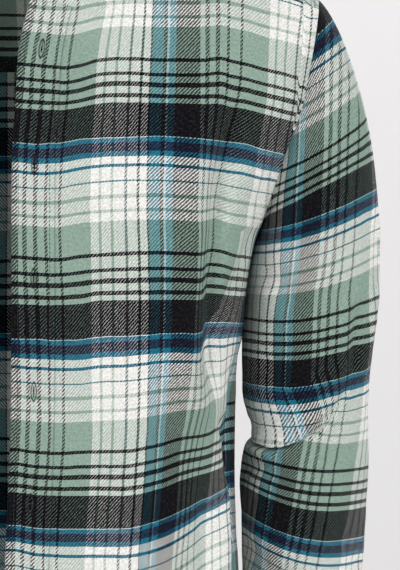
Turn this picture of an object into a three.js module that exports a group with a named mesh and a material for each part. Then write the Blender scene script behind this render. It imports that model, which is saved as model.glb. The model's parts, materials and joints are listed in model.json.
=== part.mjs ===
// A man's brushed-flannel overshirt, worn open: hollow, as the body fills it, with the arms hanging.
// Millimetres, +Z up. The wearer faces -Y, the wearer's left is +X, and the origin lies between
// the two shoulder-neck points, where the shoulders carry the shirt.
import * as THREE from 'three';

// Driving dimensions.
const CLOTH = 1.6;            // flannel with its nap
const SEAM = 0.35;            // each cloth edge stands back this far from its seam line
const LIFT = 0.3;             // clearance between a strip and the panel it lies on
const ARM_SEAM = { top: 0.7, under: 1.95 };   // how far a sleeve starts off the armhole
const NECK_SEAM = 1.3;        // how far the collar stand starts above the neckline

const HEM_FRONT = -742;       // hem at the front edge
const HEM_BACK = -752;        // hem at the centre of the back
const HEM_SIDE = -700;        // hem at the side seams, where the shirt tail curves up
const SHOULDER_DROP = 10;     // the front yoke seam lies this far below the shoulder ridge
const NECK_HALF = 76;         // half width of the neckline
const NECK_CORNER = 74;       // where the front yoke seam meets the neckline
const NECK_BACK_TURN = 0.5;   // radians round the shoulder arch from the ridge to the back neck
const ARCH_FRONT = 100;       // drop over which the shoulder rounds into the chest
const ARCH_BACK = 110;        // drop over which it rounds into the back
const ARMHOLE = { midZ: -147, halfHeight: 94, frontDepth: 62, backDepth: 66 };
const YOKE_FRONT_TURN = 28;   // degrees round the armhole from its top to the front yoke seam
const YOKE_BACK_TURN = 62.5;  // and to the back yoke seam, which lies level all the way across
const YOKE_BACK = ARMHOLE.midZ + ARMHOLE.halfHeight * Math.cos((YOKE_BACK_TURN * Math.PI) / 180);
const SLEEVE_TOP_OUT = 0.6;   // how far a sleeve leans out where it leaves the shoulder

const STAND = { height: 30, frontHeight: 25, cloth: 1.8 };
const LEAF = { cloth: 1.8, roll: 5, foldUp: 2.0, foldOut: 2.6 };
const PLACKET = { width: 33, cloth: 1.4 };
const CUFF = { height: 64, gap: 0.8, cloth: 2.4, overlap: 24 };
const GAUNTLET = { width: 25, length: 150, cloth: 1.4, turn: 238, start: 0.16, lift: 0.4 };
const BUTTON = { radius: 5.75, thick: 2.6, rim: 0.7, sides: 12, shank: 0.8 };
const FRONT_BUTTON_Z = [-102, -197, -287, -377, -467, -557, -647];

// Sections of the body, a row for each height: half width, depth in front and behind, and how
// square the front and the back quarters are.
const BODY = table(['z', 'half', 'front', 'back', 'frontSquare', 'backSquare'], [
  [-790, 215, 142, 150, 2.9, 2.6],
  [-700, 211, 140, 147, 2.9, 2.6],
  [-600, 206, 137, 143, 2.95, 2.65],
  [-532, 202.6, 135, 139, 3.0, 2.7],
  [-490, 200, 133, 136, 3.0, 2.7],
  [-440, 199, 132, 133, 3.0, 2.7],
  [-388, 199.8, 132, 131, 3.0, 2.7],
  [-352, 201.6, 133, 131, 3.0, 2.65],
  [-332, 206.2, 134, 132, 3.0, 2.6],
  [-296, 209.4, 135, 134, 3.05, 2.6],
  [-270, 213.5, 136, 136, 3.1, 2.6],
  [-254, 217.2, 136, 138, 3.1, 2.65],
  [-241, 222, 136, 140, 3.15, 2.7],
  [-210, 234.5, 136, 142, 3.2, 2.8],
  [-181, 247.7, 133, 143, 3.2, 2.8],
  [-147, 261.7, 130, 142, 3.2, 2.8],
  [-128, 266.5, 127, 141, 3.2, 2.8],
  [-83, 277.5, 119, 136, 3.2, 2.8],
  [-53, 284, 114, 131, 3.2, 2.8],
  [0, 292, 104, 120, 3.2, 2.8],
  [40, 296, 98, 114, 3.2, 2.8],
]);

// The shoulder ridge: its height at each distance from the neck's centre.
const RIDGE = table(['x', 'z'], [
  [0, 16], [40, 13], [76, 2], [120, -10], [170, -24], [220, -38], [270, -53], [315, -69],
]);

// The front edge, as it hangs open: its distance from the body's centre line at each height.
const FRONT_EDGE = table(['z', 'x'], [
  [-790, 11], [-600, 15], [-520, 17], [-400, 21.5], [-184, 23], [-144, 25.5], [-104, 27.5],
  [-80, 32], [-64, 36], [-50, 41], [-30, 55], [-7.5, 74], [40, 90],
]);

// Rings of a sleeve, a row for each: inner and outer edge, middle and half depth, how far the
// front of the ring hangs below its middle.
const SLEEVE = table(['run', 'inX', 'inZ', 'outX', 'outZ', 'midY', 'half', 'dip'], [
  [0, 219.9, -257, 317.5, -199, 2, 60, 8],
  [1, 214.7, -281, 321, -238, 4, 62, 10],
  [2, 210.6, -305, 322, -273, 6, 62, 10],
  [3, 208.4, -333, 320.2, -307, 9, 61, 10],
  [4, 207.8, -360, 316, -343, 12, 60, 10],
  [5, 208.6, -385, 312.6, -378, 15, 58, 9],
  [6, 213.5, -409, 312, -412, 17, 57, 8],
  [7, 208.5, -430, 312, -443, 17, 58, 6],
  [8, 205.2, -457, 311, -474, 14, 57, 4],
  [9, 206.8, -489, 309, -508, 9, 54, 2],
  [10, 207, -524, 305, -541, 2, 51, 0],
  [11, 209, -556, 299, -571, -7, 48, -2],
  [12, 214, -585, 292, -594, -16, 42, -4],
  [13, 220, -601, 285, -607, -21, 34, -4],
]);

// The largest folds of the body, a row for each: its panel, then along its line the distance round
// the body and the height of each end, its width, and its depth (a ridge is negative).
const BODY_FOLDS = table(['on', 'q1', 'z1', 'q2', 'z2', 'wide', 'deep'], [
  ['left_front', 64, -70, 62, -190, 15, 4.5],
  ['left_front', 104, -80, 100, -330, 26, -3.5],
  ['left_front', 200, -190, 189, -385, 14, 8],
  ['left_front', 168, -240, 165, -460, 20, -4],
  ['left_front', 232, -330, 222, -470, 15, 6],
  ['left_front', 206, -380, 200, -640, 22, -5],
  ['left_front', 150, -470, 158, -720, 26, 6],
  ['left_front', 96, -520, 92, -735, 28, -5],
  ['left_front', 244, -250, 150, -330, 16, 4],
  ['right_front', 70, -80, 66, -215, 16, 4],
  ['right_front', 190, -200, 182, -400, 14, 9],
  ['right_front', 158, -260, 150, -480, 22, -5],
  ['right_front', 228, -320, 214, -450, 16, 7],
  ['right_front', 120, -450, 128, -730, 26, 7],
  ['right_front', 200, -470, 206, -690, 24, -5],
  ['back', 205, -190, 178, -430, 20, 10],
  ['back', 165, -230, 150, -520, 24, -6],
  ['back', 120, -420, 132, -740, 26, 8],
  ['back', 40, -330, 30, -560, 34, -5],
  ['back', -212, -195, -186, -410, 20, 10],
  ['back', -168, -230, -155, -480, 26, -6],
  ['back', -108, -440, -118, -740, 28, 8],
  ['back', -225, -480, -110, -420, 18, 5],
  ['back', 228, -470, 120, -400, 18, 5],
]);

// The largest folds of a sleeve: degrees round it from its outer line towards the front, and ring.
const SLEEVE_FOLDS = table(['a1', 'r1', 'a2', 'r2', 'wide', 'deep'], [
  [184, 6.3, 130, 6.62, 10, 12],
  [130, 6.62, 85, 6.15, 10, 9],
  [85, 6.15, 48, 5.0, 10, 7],
  [192, 7.2, 96, 7.8, 15, -5],
  [20, 2.2, 72, 5.0, 13, -4],
  [34, 4.4, 84, 6.0, 12, 5],
  [150, 0.6, 100, 2.4, 14, 5],
  [206, 5.6, 262, 6.4, 12, 9],
  [202, 7.0, 268, 7.6, 13, -5],
  [214, 0.8, 256, 2.6, 14, 6],
  [176, 9.4, 96, 10.4, 14, 5],
  [60, 8.6, 20, 9.8, 14, 4],
  [300, 8.4, 250, 10.2, 15, 5],
]);

// How many cells each form is made of.
const CELLS = {
  frontAcross: 18, sideRows: 16, frontArm: 10, backArm: 8, yokeFrontArm: 3, yokeBackArm: 4,
  backAcross: 28, shoulder: 6, neck: 6, capRows: 5, ringRows: 21, leaf: 5, cuff: 26,
};

// Small tools.
function table(columns, rows) {
  return rows.map((row) => Object.fromEntries(columns.map((name, i) => [name, row[i]])));
}
const lerp = (a, b, t) => a + (b - a) * t;
const clamp = (v, low, high) => Math.min(high, Math.max(low, v));
const rad = (degrees) => (degrees * Math.PI) / 180;
const vec = (x, y, z) => new THREE.Vector3(x, y, z);

// The value of one column where the key column is at `at`: smooth between rows.
function read(rows, key, column, at) {
  const n = rows.length;
  let i = 0;
  while (i < n - 2 && at > rows[i + 1][key]) i += 1;
  const slope = (k) => {
    const a = rows[Math.max(0, k - 1)];
    const b = rows[Math.min(n - 1, k + 1)];
    return (b[column] - a[column]) / (b[key] - a[key]);
  };
  const [p, q] = [rows[i], rows[i + 1]];
  const span = q[key] - p[key];
  const t = clamp((at - p[key]) / span, 0, 1);
  const [t2, t3] = [t * t, t * t * t];
  return (2 * t3 - 3 * t2 + 1) * p[column] + (t3 - 2 * t2 + t) * span * slope(i)
    + (3 * t2 - 2 * t3) * q[column] + (t3 - t2) * span * slope(i + 1);
}

// The root of a rising or falling function between two bounds.
function solve(f, low, high) {
  const rising = f(high) > f(low);
  for (let k = 0; k < 50; k += 1) {
    const mid = (low + high) / 2;
    if (f(mid) > 0 === rising) high = mid;
    else low = mid;
  }
  return (low + high) / 2;
}

// The body's form.
const ARC_STEPS = 90;
const sections = new Map();

// The quarter section at a height, from the centre line to the side, with its running length.
function quarter(z, face) {
  const key = `${face}${z.toFixed(3)}`;
  if (sections.has(key)) return sections.get(key);
  const half = read(BODY, 'z', 'half', z);
  const depth = read(BODY, 'z', face, z);
  const power = 2 / read(BODY, 'z', `${face}Square`, z);
  const points = [];
  let run = 0;
  for (let k = 0; k <= ARC_STEPS; k += 1) {
    const turn = (k / ARC_STEPS) * (Math.PI / 2);
    const x = half * Math.sin(turn) ** power;
    const y = depth * Math.abs(Math.cos(turn)) ** power * (k === ARC_STEPS ? 0 : 1);
    if (k > 0) run += Math.hypot(x - points[k - 1].x, y - points[k - 1].y);
    points.push({ x, y, run });
  }
  sections.set(key, points);
  return points;
}

function onQuarter(z, face, key, value) {
  const points = quarter(z, face);
  let low = 0;
  let high = points.length - 1;
  while (high - low > 1) {
    const mid = (low + high) >> 1;
    if (points[mid][key] > value) high = mid;
    else low = mid;
  }
  const [a, b] = [points[low], points[high]];
  const t = clamp((value - a[key]) / (b[key] - a[key] || 1), 0, 1);
  return { x: lerp(a.x, b.x, t), y: lerp(a.y, b.y, t), run: lerp(a.run, b.run, t) };
}

const sideRun = (z, face) => quarter(z, face)[ARC_STEPS].run;
const runAt = (z, face, x) => onQuarter(z, face, 'x', x).run;
const ridge = (x) => read(RIDGE, 'x', 'z', Math.abs(x));
const archDrop = (face) => (face === 'front' ? ARCH_FRONT : ARCH_BACK);

// How much of the body's depth is reached at a height, as the cloth rounds over the shoulder.
function arch(x, z, face) {
  const t = clamp((ridge(x) - z) / archDrop(face), 0, 1);
  return Math.sqrt(1 - (1 - t) ** 2);
}

// A point on the body: q is the distance round it from its centre line, positive to the left.
function bodyPoint(q, z, face) {
  const at = onQuarter(z, face, 'run', Math.abs(q));
  const y = at.y * arch(at.x, z, face);
  return vec(Math.sign(q) * at.x, face === 'front' ? -y : y, z);
}

// A point on the top of the shoulders: turn is the angle over the arch, negative in front.
function shoulderPoint(x, turn) {
  const face = turn < 0 ? 'front' : 'back';
  const z = ridge(x) - archDrop(face) * (1 - Math.cos(turn));
  const y = onQuarter(z, face, 'x', Math.abs(x)).y * Math.abs(Math.sin(turn));
  return vec(x, turn < 0 ? -y : y, z);
}

// The armhole: degrees round it from its top, through the front, to the underarm and the back.
function armhole(degrees) {
  const turn = rad(degrees);
  const z = ARMHOLE.midZ + ARMHOLE.halfHeight * Math.cos(turn);
  const face = Math.sin(turn) >= 0 ? 'front' : 'back';
  const y = Math.abs(Math.sin(turn)) * ARMHOLE[`${face}Depth`];
  const half = read(BODY, 'z', 'half', z);
  const depthAt = (x) => onQuarter(z, face, 'x', x).y * arch(x, z, face) - y;
  const x = y < 1e-6 && z > ARMHOLE.midZ
    ? solve((v) => ridge(v) - z, 150, 300)
    : solve(depthAt, 120, half);
  return vec(x, face === 'front' ? -y : y, z);
}

// Cloth from a grid of points.
// Normals of a grid of points, by the neighbours of each.
function normalsOf(grid, around) {
  const rows = grid.length;
  const columns = grid[0].length;
  return grid.map((row, j) => row.map((_, i) => {
    const left = around ? row[(i + columns - 1) % columns] : row[Math.max(0, i - 1)];
    const right = around ? row[(i + 1) % columns] : row[Math.min(columns - 1, i + 1)];
    const below = grid[Math.max(0, j - 1)][i];
    const above = grid[Math.min(rows - 1, j + 1)][i];
    return right.clone().sub(left).cross(above.clone().sub(below)).normalize();
  }));
}

const moved = (grid, normals, by) => grid.map((row, j) => row.map((p, i) => (
  p.clone().addScaledVector(normals[j][i], typeof by === 'function' ? by(i, j) : by)
)));

// Draws the grid's border back from the seams on the named sides.
function drawnBack(grid, sides) {
  const last = grid.length - 1;
  const end = grid[0].length - 1;
  const out = grid.map((row) => row.map((p) => p.clone()));
  const pull = (p, towards) => p.add(towards.clone().sub(p).setLength(SEAM));
  for (let j = 0; j <= last; j += 1) {
    if (sides.includes('start')) pull(out[j][0], grid[j][1]);
    if (sides.includes('end')) pull(out[j][end], grid[j][end - 1]);
  }
  for (let i = 0; i <= end; i += 1) {
    if (sides.includes('bottom')) pull(out[0][i], grid[1][i]);
    if (sides.includes('top')) pull(out[last][i], grid[last - 1][i]);
  }
  return out;
}

// A closed wall of one thickness about a grid; `around` joins the last column to the first.
function wall(grid, thick, around = false) {
  const normals = normalsOf(grid, around);
  const outer = moved(grid, normals, thick / 2);
  const inner = moved(grid, normals, -thick / 2);
  const rows = grid.length;
  const columns = grid[0].length;
  const points = [...outer.flat(), ...inner.flat()];
  const id = (j, i, layer) => layer * rows * columns + j * columns + (i % columns);
  const faces = [];
  const quad = (a, b, c, d) => faces.push(a, b, c, a, c, d);
  const cells = around ? columns : columns - 1;
  for (let j = 0; j < rows - 1; j += 1) {
    for (let i = 0; i < cells; i += 1) {
      quad(id(j, i, 0), id(j, i + 1, 0), id(j + 1, i + 1, 0), id(j + 1, i, 0));
      quad(id(j, i, 1), id(j + 1, i, 1), id(j + 1, i + 1, 1), id(j, i + 1, 1));
    }
  }
  for (let i = 0; i < cells; i += 1) {
    quad(id(0, i, 1), id(0, i + 1, 1), id(0, i + 1, 0), id(0, i, 0));
    quad(id(rows - 1, i, 0), id(rows - 1, i + 1, 0), id(rows - 1, i + 1, 1), id(rows - 1, i, 1));
  }
  if (!around) {
    for (let j = 0; j < rows - 1; j += 1) {
      quad(id(j, 0, 0), id(j + 1, 0, 0), id(j + 1, 0, 1), id(j, 0, 1));
      quad(id(j, cells, 1), id(j + 1, cells, 1), id(j + 1, cells, 0), id(j, cells, 0));
    }
  }
  return geometryOf(points, faces);
}

function geometryOf(points, faces) {
  const geometry = new THREE.BufferGeometry();
  geometry.setAttribute('position', new THREE.Float32BufferAttribute(points.flatMap((p) => p.toArray()), 3));
  geometry.setIndex(faces);
  geometry.computeVertexNormals();
  return geometry;
}

// The same form on the wearer's right: x is mirrored, and each face is turned round.
function mirrored(geometry) {
  const out = geometry.clone();
  const position = out.getAttribute('position');
  for (let i = 0; i < position.count; i += 1) position.setX(i, -position.getX(i));
  const index = out.getIndex().array;
  for (let i = 0; i < index.length; i += 3) [index[i + 1], index[i + 2]] = [index[i + 2], index[i + 1]];
  out.computeVertexNormals();
  return out;
}

// How far the folds press a point in, given its place across and along the cloth; `ends` is the
// share of a fold's length at which it has died out.
function foldDepth(folds, across, along, ends) {
  let deep = 0;
  for (const fold of folds) {
    const [dx, dy] = [fold.x2 - fold.x1, fold.y2 - fold.y1];
    const length = Math.hypot(dx, dy);
    const t = ((across - fold.x1) * dx + (along - fold.y1) * dy) / length ** 2;
    const off = ((across - fold.x1) * dy - (along - fold.y1) * dx) / length;
    const beyond = Math.max(0, -t, t - 1) * length;
    const fade = Math.sin(Math.PI * clamp(t, ends, 1 - ends)) ** 0.7 * Math.exp(-((beyond / fold.wide) ** 2));
    deep += fold.deep * Math.exp(-((off / fold.wide) ** 2)) * fade;
  }
  return deep;
}

const bodyFolds = (panel) => BODY_FOLDS.filter((fold) => fold.on === panel)
  .map((f) => ({ ...f, x1: f.q1, y1: f.z1, x2: f.q2, y2: f.z2 }));

// Fronts, back and yoke.
const evenly = (from, to, cells) => Array.from({ length: cells + 1 }, (_, k) => lerp(from, to, k / cells));
const frontArmTurns = evenly(180, YOKE_FRONT_TURN, CELLS.frontArm);
const backArmTurns = evenly(-180, -YOKE_BACK_TURN, CELLS.backArm);
const underarmZ = ARMHOLE.midZ - ARMHOLE.halfHeight;
const edgeQ = (z) => runAt(z, 'front', read(FRONT_EDGE, 'z', 'x', z));

// The hem's height at a share of the way from the centre to the side seam.
const hemZ = (middle, share) => lerp(HEM_SIDE, middle, 0.5 + 0.5 * Math.cos(Math.PI * Math.abs(share) ** 1.6));

// The points of a front, bottom row first, each with its distance round the body and its height.
function frontPlan() {
  const side = evenly(HEM_SIDE, underarmZ, CELLS.sideRows).map((z) => ({ q: sideRun(z, 'front'), z }));
  const arm = frontArmTurns.slice(1).map((turn) => {
    const p = armhole(turn);
    return { q: runAt(p.z, 'front', p.x), z: p.z };
  });
  const right = [...side, ...arm];
  const top = right[right.length - 1];
  const topX = armhole(YOKE_FRONT_TURN).x;
  const topDrop = ridge(topX) - top.z;
  const cornerZ = ridge(NECK_CORNER) - SHOULDER_DROP;
  return right.map((edge, j) => {
    const s = j / (right.length - 1);
    const bandEnd = PLACKET.width / (edge.q - edgeQ(lerp(HEM_FRONT, cornerZ, s)));
    const across = [0, bandEnd / 2, ...evenly(bandEnd, 1, CELLS.frontAcross - 2)];
    return across.map((f) => {
      const x = lerp(NECK_CORNER, topX, f);
      const seamZ = ridge(x) - lerp(SHOULDER_DROP, topDrop, f);
      const leftZ = lerp(HEM_FRONT, cornerZ, s);
      const low = { z: hemZ(HEM_FRONT, f) };
      low.q = lerp(edgeQ(HEM_FRONT), sideRun(HEM_SIDE, 'front'), f);
      const high = { q: runAt(seamZ, 'front', x), z: seamZ };
      const start = { q: edgeQ(leftZ), z: leftZ };
      const corners = (key) => lerp(
        lerp(key === 'q' ? edgeQ(HEM_FRONT) : HEM_FRONT, right[0][key], f),
        lerp(key === 'q' ? edgeQ(cornerZ) : cornerZ, top[key], f), s);
      const blend = (key) => lerp(low[key], high[key], s) + lerp(start[key], edge[key], f) - corners(key);
      return { q: blend('q'), z: blend('z') };
    });
  });
}

// A front's middle surface: the wearer's left, or the right before it is mirrored.
function frontGrid(name) {
  const plan = frontPlan();
  const grid = plan.map((row) => row.map((p) => bodyPoint(p.q, p.z, 'front')));
  const normals = normalsOf(grid, false);
  const folds = bodyFolds(name);
  const share = (i) => Math.min(1, (CELLS.frontAcross - i) / 1.5);
  return moved(grid, normals, (i, j) => -share(i) * foldDepth(folds, plan[j][i].q, plan[j][i].z, 0.02));
}

function backGrid() {
  const rows = [
    ...evenly(0, 1, CELLS.sideRows).map((s) => (f) => {
      const z = lerp(hemZ(HEM_BACK, f), underarmZ, s);
      return { q: f * sideRun(lerp(HEM_SIDE, underarmZ, s), 'back'), z };
    }),
    ...backArmTurns.slice(1).map((turn) => {
      const p = armhole(turn);
      return (f) => ({ q: f * runAt(p.z, 'back', p.x), z: p.z });
    }),
  ];
  const plan = rows.map((row) => evenly(1, -1, CELLS.backAcross).map(row));
  const grid = plan.map((row) => row.map((p) => bodyPoint(p.q, p.z, 'back')));
  const normals = normalsOf(grid, false);
  const folds = bodyFolds('back');
  const share = (i) => clamp(Math.min(i, CELLS.backAcross - i) / 1.5, 0, 1);
  return moved(grid, normals, (i, j) => -share(i) * foldDepth(folds, plan[j][i].q, plan[j][i].z, 0.02));
}

// The neckline on the yoke: from the front yoke seam (0) round to the middle of the back (1).
const FRONT_SHARE = 0.3;
function neckline(share) {
  const frontTurn = -Math.acos(1 - SHOULDER_DROP / ARCH_FRONT);
  if (share < FRONT_SHARE) {
    const t = 1 - share / FRONT_SHARE;
    return { x: NECK_HALF - (NECK_HALF - NECK_CORNER) * t * t, turn: frontTurn * t };
  }
  const round = ((share - FRONT_SHARE) / (1 - FRONT_SHARE)) * (Math.PI / 2);
  return { x: NECK_HALF * Math.cos(round), turn: NECK_BACK_TURN * Math.sin(round) };
}

// The yoke's middle surface: columns from the left armhole round to the right, rows outwards.
function yokeGrid() {
  const armTurns = [
    ...evenly(YOKE_FRONT_TURN, 0, CELLS.yokeFrontArm),
    ...evenly(0, -YOKE_BACK_TURN, CELLS.yokeBackArm).slice(1),
  ];
  const turnAt = (p) => {
    const face = p.y < 0 ? 'front' : 'back';
    return (p.y < 0 ? -1 : 1) * Math.acos(clamp(1 - (ridge(p.x) - p.z) / archDrop(face), -1, 1));
  };
  const arm = armTurns.map((turn) => {
    const p = armhole(turn);
    return { x: p.x, turn: turnAt(p) };
  });
  const last = arm.length - 1;
  const backTurn = (x) => Math.acos(clamp(1 - (ridge(x) - YOKE_BACK) / ARCH_BACK, -1, 1));
  const columns = CELLS.shoulder + CELLS.neck;
  const half = evenly(0, 1, columns).map((share, i) => {
    const t = i / CELLS.shoulder;
    const start = t < 1
      ? { x: lerp(arm[0].x, NECK_CORNER, t), turn: lerp(arm[0].turn, neckline(0).turn, t) }
      : neckline((i - CELLS.shoulder) / CELLS.neck);
    const endX = arm[last].x * (1 - share);
    const end = { x: endX, turn: backTurn(endX) };
    return arm.map((edge, j) => {
      const s = j / last;
      const bulge = Math.max(0, 1 - t);
      const offset = (key) => bulge * (edge[key] - lerp(arm[0][key], arm[last][key], s));
      return shoulderPoint(lerp(start.x, end.x, s) + offset('x'), lerp(start.turn, end.turn, s) + offset('turn'));
    });
  });
  const other = half.slice(0, -1).reverse().map((column) => column.map((p) => vec(-p.x, p.y, p.z)));
  const all = [...half, ...other];
  return arm.map((_, j) => all.map((column) => column[j]).reverse());
}

// Sleeves.
// The degrees round the armhole at which the body's pieces and the sleeve have their columns.
const SLEEVE_TURNS = [
  ...evenly(0, YOKE_FRONT_TURN, CELLS.yokeFrontArm),
  ...evenly(YOKE_FRONT_TURN, 180, CELLS.frontArm).slice(1),
  ...evenly(180, 360 - YOKE_BACK_TURN, CELLS.backArm).slice(1),
  ...evenly(360 - YOKE_BACK_TURN, 360, CELLS.yokeBackArm).slice(1, -1),
];

// A point of the sleeve at a ring and an angle from its outer line towards the front.
function sleeveRing(run, degrees) {
  const row = (column) => read(SLEEVE, 'run', column, run);
  const turn = rad(degrees);
  const middle = vec((row('inX') + row('outX')) / 2, row('midY'), (row('inZ') + row('outZ')) / 2);
  const out = vec((row('outX') - row('inX')) / 2, 0, (row('outZ') - row('inZ')) / 2);
  const front = vec(0, -row('half'), -row('dip'));
  return middle.addScaledVector(out, Math.cos(turn)).addScaledVector(front, Math.sin(turn));
}

// The way a sleeve leaves the armhole at an angle round it.
function sleeveStart(degrees) {
  const turn = rad(degrees);
  const top = 0.5 + 0.5 * Math.cos(turn);
  return vec(lerp(0.85, 0.7, top), -0.4 * Math.sin(turn), lerp(-0.5, -0.7, top)).normalize();
}

function sleeveGrid() {
  const lastRing = SLEEVE[SLEEVE.length - 1].run;
  const place = (row, degrees) => {
    if (row >= 0) return sleeveRing(row, degrees);
    const s = row + 1;
    const start = armhole(degrees > 180 ? degrees - 360 : degrees);
    const off = lerp(ARM_SEAM.under, ARM_SEAM.top, 0.5 + 0.5 * Math.cos(rad(degrees)));
    start.addScaledVector(sleeveStart(degrees), off);
    const end = sleeveRing(0, degrees);
    const reach = start.distanceTo(end);
    const onward = sleeveRing(0.5, degrees).sub(end).setLength(reach);
    const [s2, s3] = [s * s, s * s * s];
    return start.clone().multiplyScalar(2 * s3 - 3 * s2 + 1)
      .addScaledVector(sleeveStart(degrees), (s3 - 2 * s2 + s) * reach * SLEEVE_TOP_OUT)
      .addScaledVector(end, 3 * s2 - 2 * s3)
      .addScaledVector(onward, s3 - s2);
  };
  const rows = [...evenly(-1, 0, CELLS.capRows), ...evenly(0, lastRing, CELLS.ringRows).slice(1)];
  const grid = rows.map((row) => SLEEVE_TURNS.map((degrees) => place(row, degrees)));
  const normals = normalsOf(grid, true);
  const ringStep = 30;
  const folds = SLEEVE_FOLDS.map((f) => ({
    ...f, x1: f.a1, y1: f.r1 * ringStep, x2: f.a2, y2: f.r2 * ringStep,
  }));
  const end = rows.length - 1;
  const share = (j) => clamp(Math.min(j, end - j) / 2, 0, 1);
  return moved(grid, normals, (i, j) => -share(j) * foldDepth(folds, SLEEVE_TURNS[i], rows[j] * ringStep, 0.2));
}

// A cuff: a band that starts at the gauntlet, goes round the wrist and laps over its own start.
function cuffGrid() {
  const lastRing = SLEEVE[SLEEVE.length - 1].run;
  const lap = CUFF.cloth + LIFT;
  const down = vec(-2, -6, -CUFF.height);
  const wrist = evenly(0, 1, CELLS.cuff).map((t) => {
    const degrees = GAUNTLET.turn + t * (360 + CUFF.overlap);
    const p = sleeveRing(lastRing, degrees);
    const middle = sleeveRing(lastRing, 0).add(sleeveRing(lastRing, 180)).multiplyScalar(0.5);
    const outward = p.clone().sub(middle);
    const lift = lap * clamp((t * (360 + CUFF.overlap) - 300) / 55, 0, 1);
    return p.add(outward.setLength(lift + 0.2)).add(vec(0, 0, -CUFF.gap));
  });
  return [0, 0.5, 1].map((s) => wrist.map((p) => p.clone().addScaledVector(down, s)));
}

// Collar.
// The whole neckline of one side, from the front end to the middle of the back, with the way
// that the stand rises from it.
function neckStations() {
  const frontZ = [-50, -40, -30, -19];
  const front = frontZ.map((z) => ({ p: bodyPoint(edgeQ(z), z, 'front'), share: (z + 50) / 43 * 0.3 }));
  const yoke = evenly(0, 1, 9).map((s) => {
    const n = neckline(s);
    return { p: shoulderPoint(n.x, n.turn), share: 0.3 + 0.7 * s };
  });
  return [...front, ...yoke];
}

const STAND_LEAN = table(['share', 'x', 'y', 'z'], [
  [0, -0.1, 0.4, 0.9], [0.3, -0.2, 0.15, 0.96], [0.55, -0.16, -0.04, 0.98], [1, 0, -0.2, 0.97],
]);

function standPoint(station, rise) {
  const lean = (column) => read(STAND_LEAN, 'share', column, station.share);
  const up = vec(lean('x'), lean('y'), lean('z')).normalize();
  return station.p.clone().addScaledVector(up, rise);
}

// Joins the stations of the left half with their mirror image: left front end to right front end.
function bothSides(stations, column) {
  const left = stations.map(column);
  const right = left.slice(0, -1).reverse().map((points) => points.map((p) => vec(-p.x, p.y, p.z)));
  return [...left, ...right];
}

const transposed = (columns) => columns[0].map((_, j) => columns.map((column) => column[j]));

function standGrid() {
  const columns = bothSides(neckStations(), (station) => {
    const height = lerp(STAND.frontHeight, STAND.height, clamp(station.share / 0.5, 0, 1));
    return evenly(NECK_SEAM, height, 2).map((rise) => standPoint(station, rise));
  });
  return transposed(columns);
}

// The leaf starts one station back from the end of the stand, which carries the top button.
// Where the leaf's outer edge lies: a row for each share of the neckline.
const LEAF_EDGE = table(['share', 'x', 'y', 'z'], [
  [0.07, 98, -108, -54], [0.18, 107, -93, -43], [0.3, 112, -70, -27], [0.45, 114, -37, -8],
  [0.6, 108, 10, 1], [0.75, 90, 54, -3], [0.88, 50, 79, -10], [1, 0, 88, -14],
]);

function leafGrid() {
  const columns = bothSides(neckStations().slice(1), (station) => {
    const height = lerp(STAND.frontHeight, STAND.height, clamp(station.share / 0.5, 0, 1));
    const edge = (column) => read(LEAF_EDGE, 'share', column, station.share);
    const fold = standPoint(station, height + LEAF.foldUp);
    const outer = vec(edge('x'), edge('y'), edge('z'));
    const away = outer.clone().sub(fold).setZ(0).normalize();
    fold.addScaledVector(away, LEAF.foldOut);
    return evenly(0, 1, CELLS.leaf).map((s) => {
      const p = fold.clone().lerp(outer, s);
      const bulge = LEAF.roll * Math.sin(Math.PI * s ** 0.6);
      return p.addScaledVector(away, bulge * 0.8).add(vec(0, 0, bulge * 0.7));
    });
  });
  return transposed(columns).map((row) => row.reverse());
}

// Strips and buttons.
// The placket: the outer band along a front's edge, from the collar stand to the hem. It follows
// the front's first columns, which lie its width apart.
function placketGrid(name) {
  const front = frontGrid(name);
  const lift = CLOTH / 2 + LIFT + PLACKET.cloth / 2;
  const over = moved(front, normalsOf(front, false), lift);
  return over.map((row) => row.slice(0, 3)).filter((row) => row[0].z < -44);
}

// A point on the outer face of a strip, a share of the way along one cell of a row, and its facing.
function seatOn(grid, column, share, row, cloth) {
  const [a, b] = [grid[row][column], grid[row][column + 1]];
  const along = b.clone().sub(a);
  const up = grid[row][column].clone().sub(grid[row - 1][column]);
  const normal = along.clone().cross(up).normalize();
  return { point: a.clone().addScaledVector(along, share).addScaledVector(normal, cloth / 2), normal };
}

// The same on a placket, at a height and midway across.
function placketSeat(grid, z) {
  let j = 0;
  while (j < grid.length - 2 && grid[j + 1][1].z < z) j += 1;
  const [a, b] = [grid[j][1], grid[j + 1][1]];
  const across = grid[j][2].clone().sub(grid[j][0]);
  const normal = across.cross(b.clone().sub(a)).normalize();
  const t = (z - a.z) / (b.z - a.z);
  return { point: a.clone().lerp(b, t).addScaledVector(normal, PLACKET.cloth / 2), normal };
}

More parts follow.
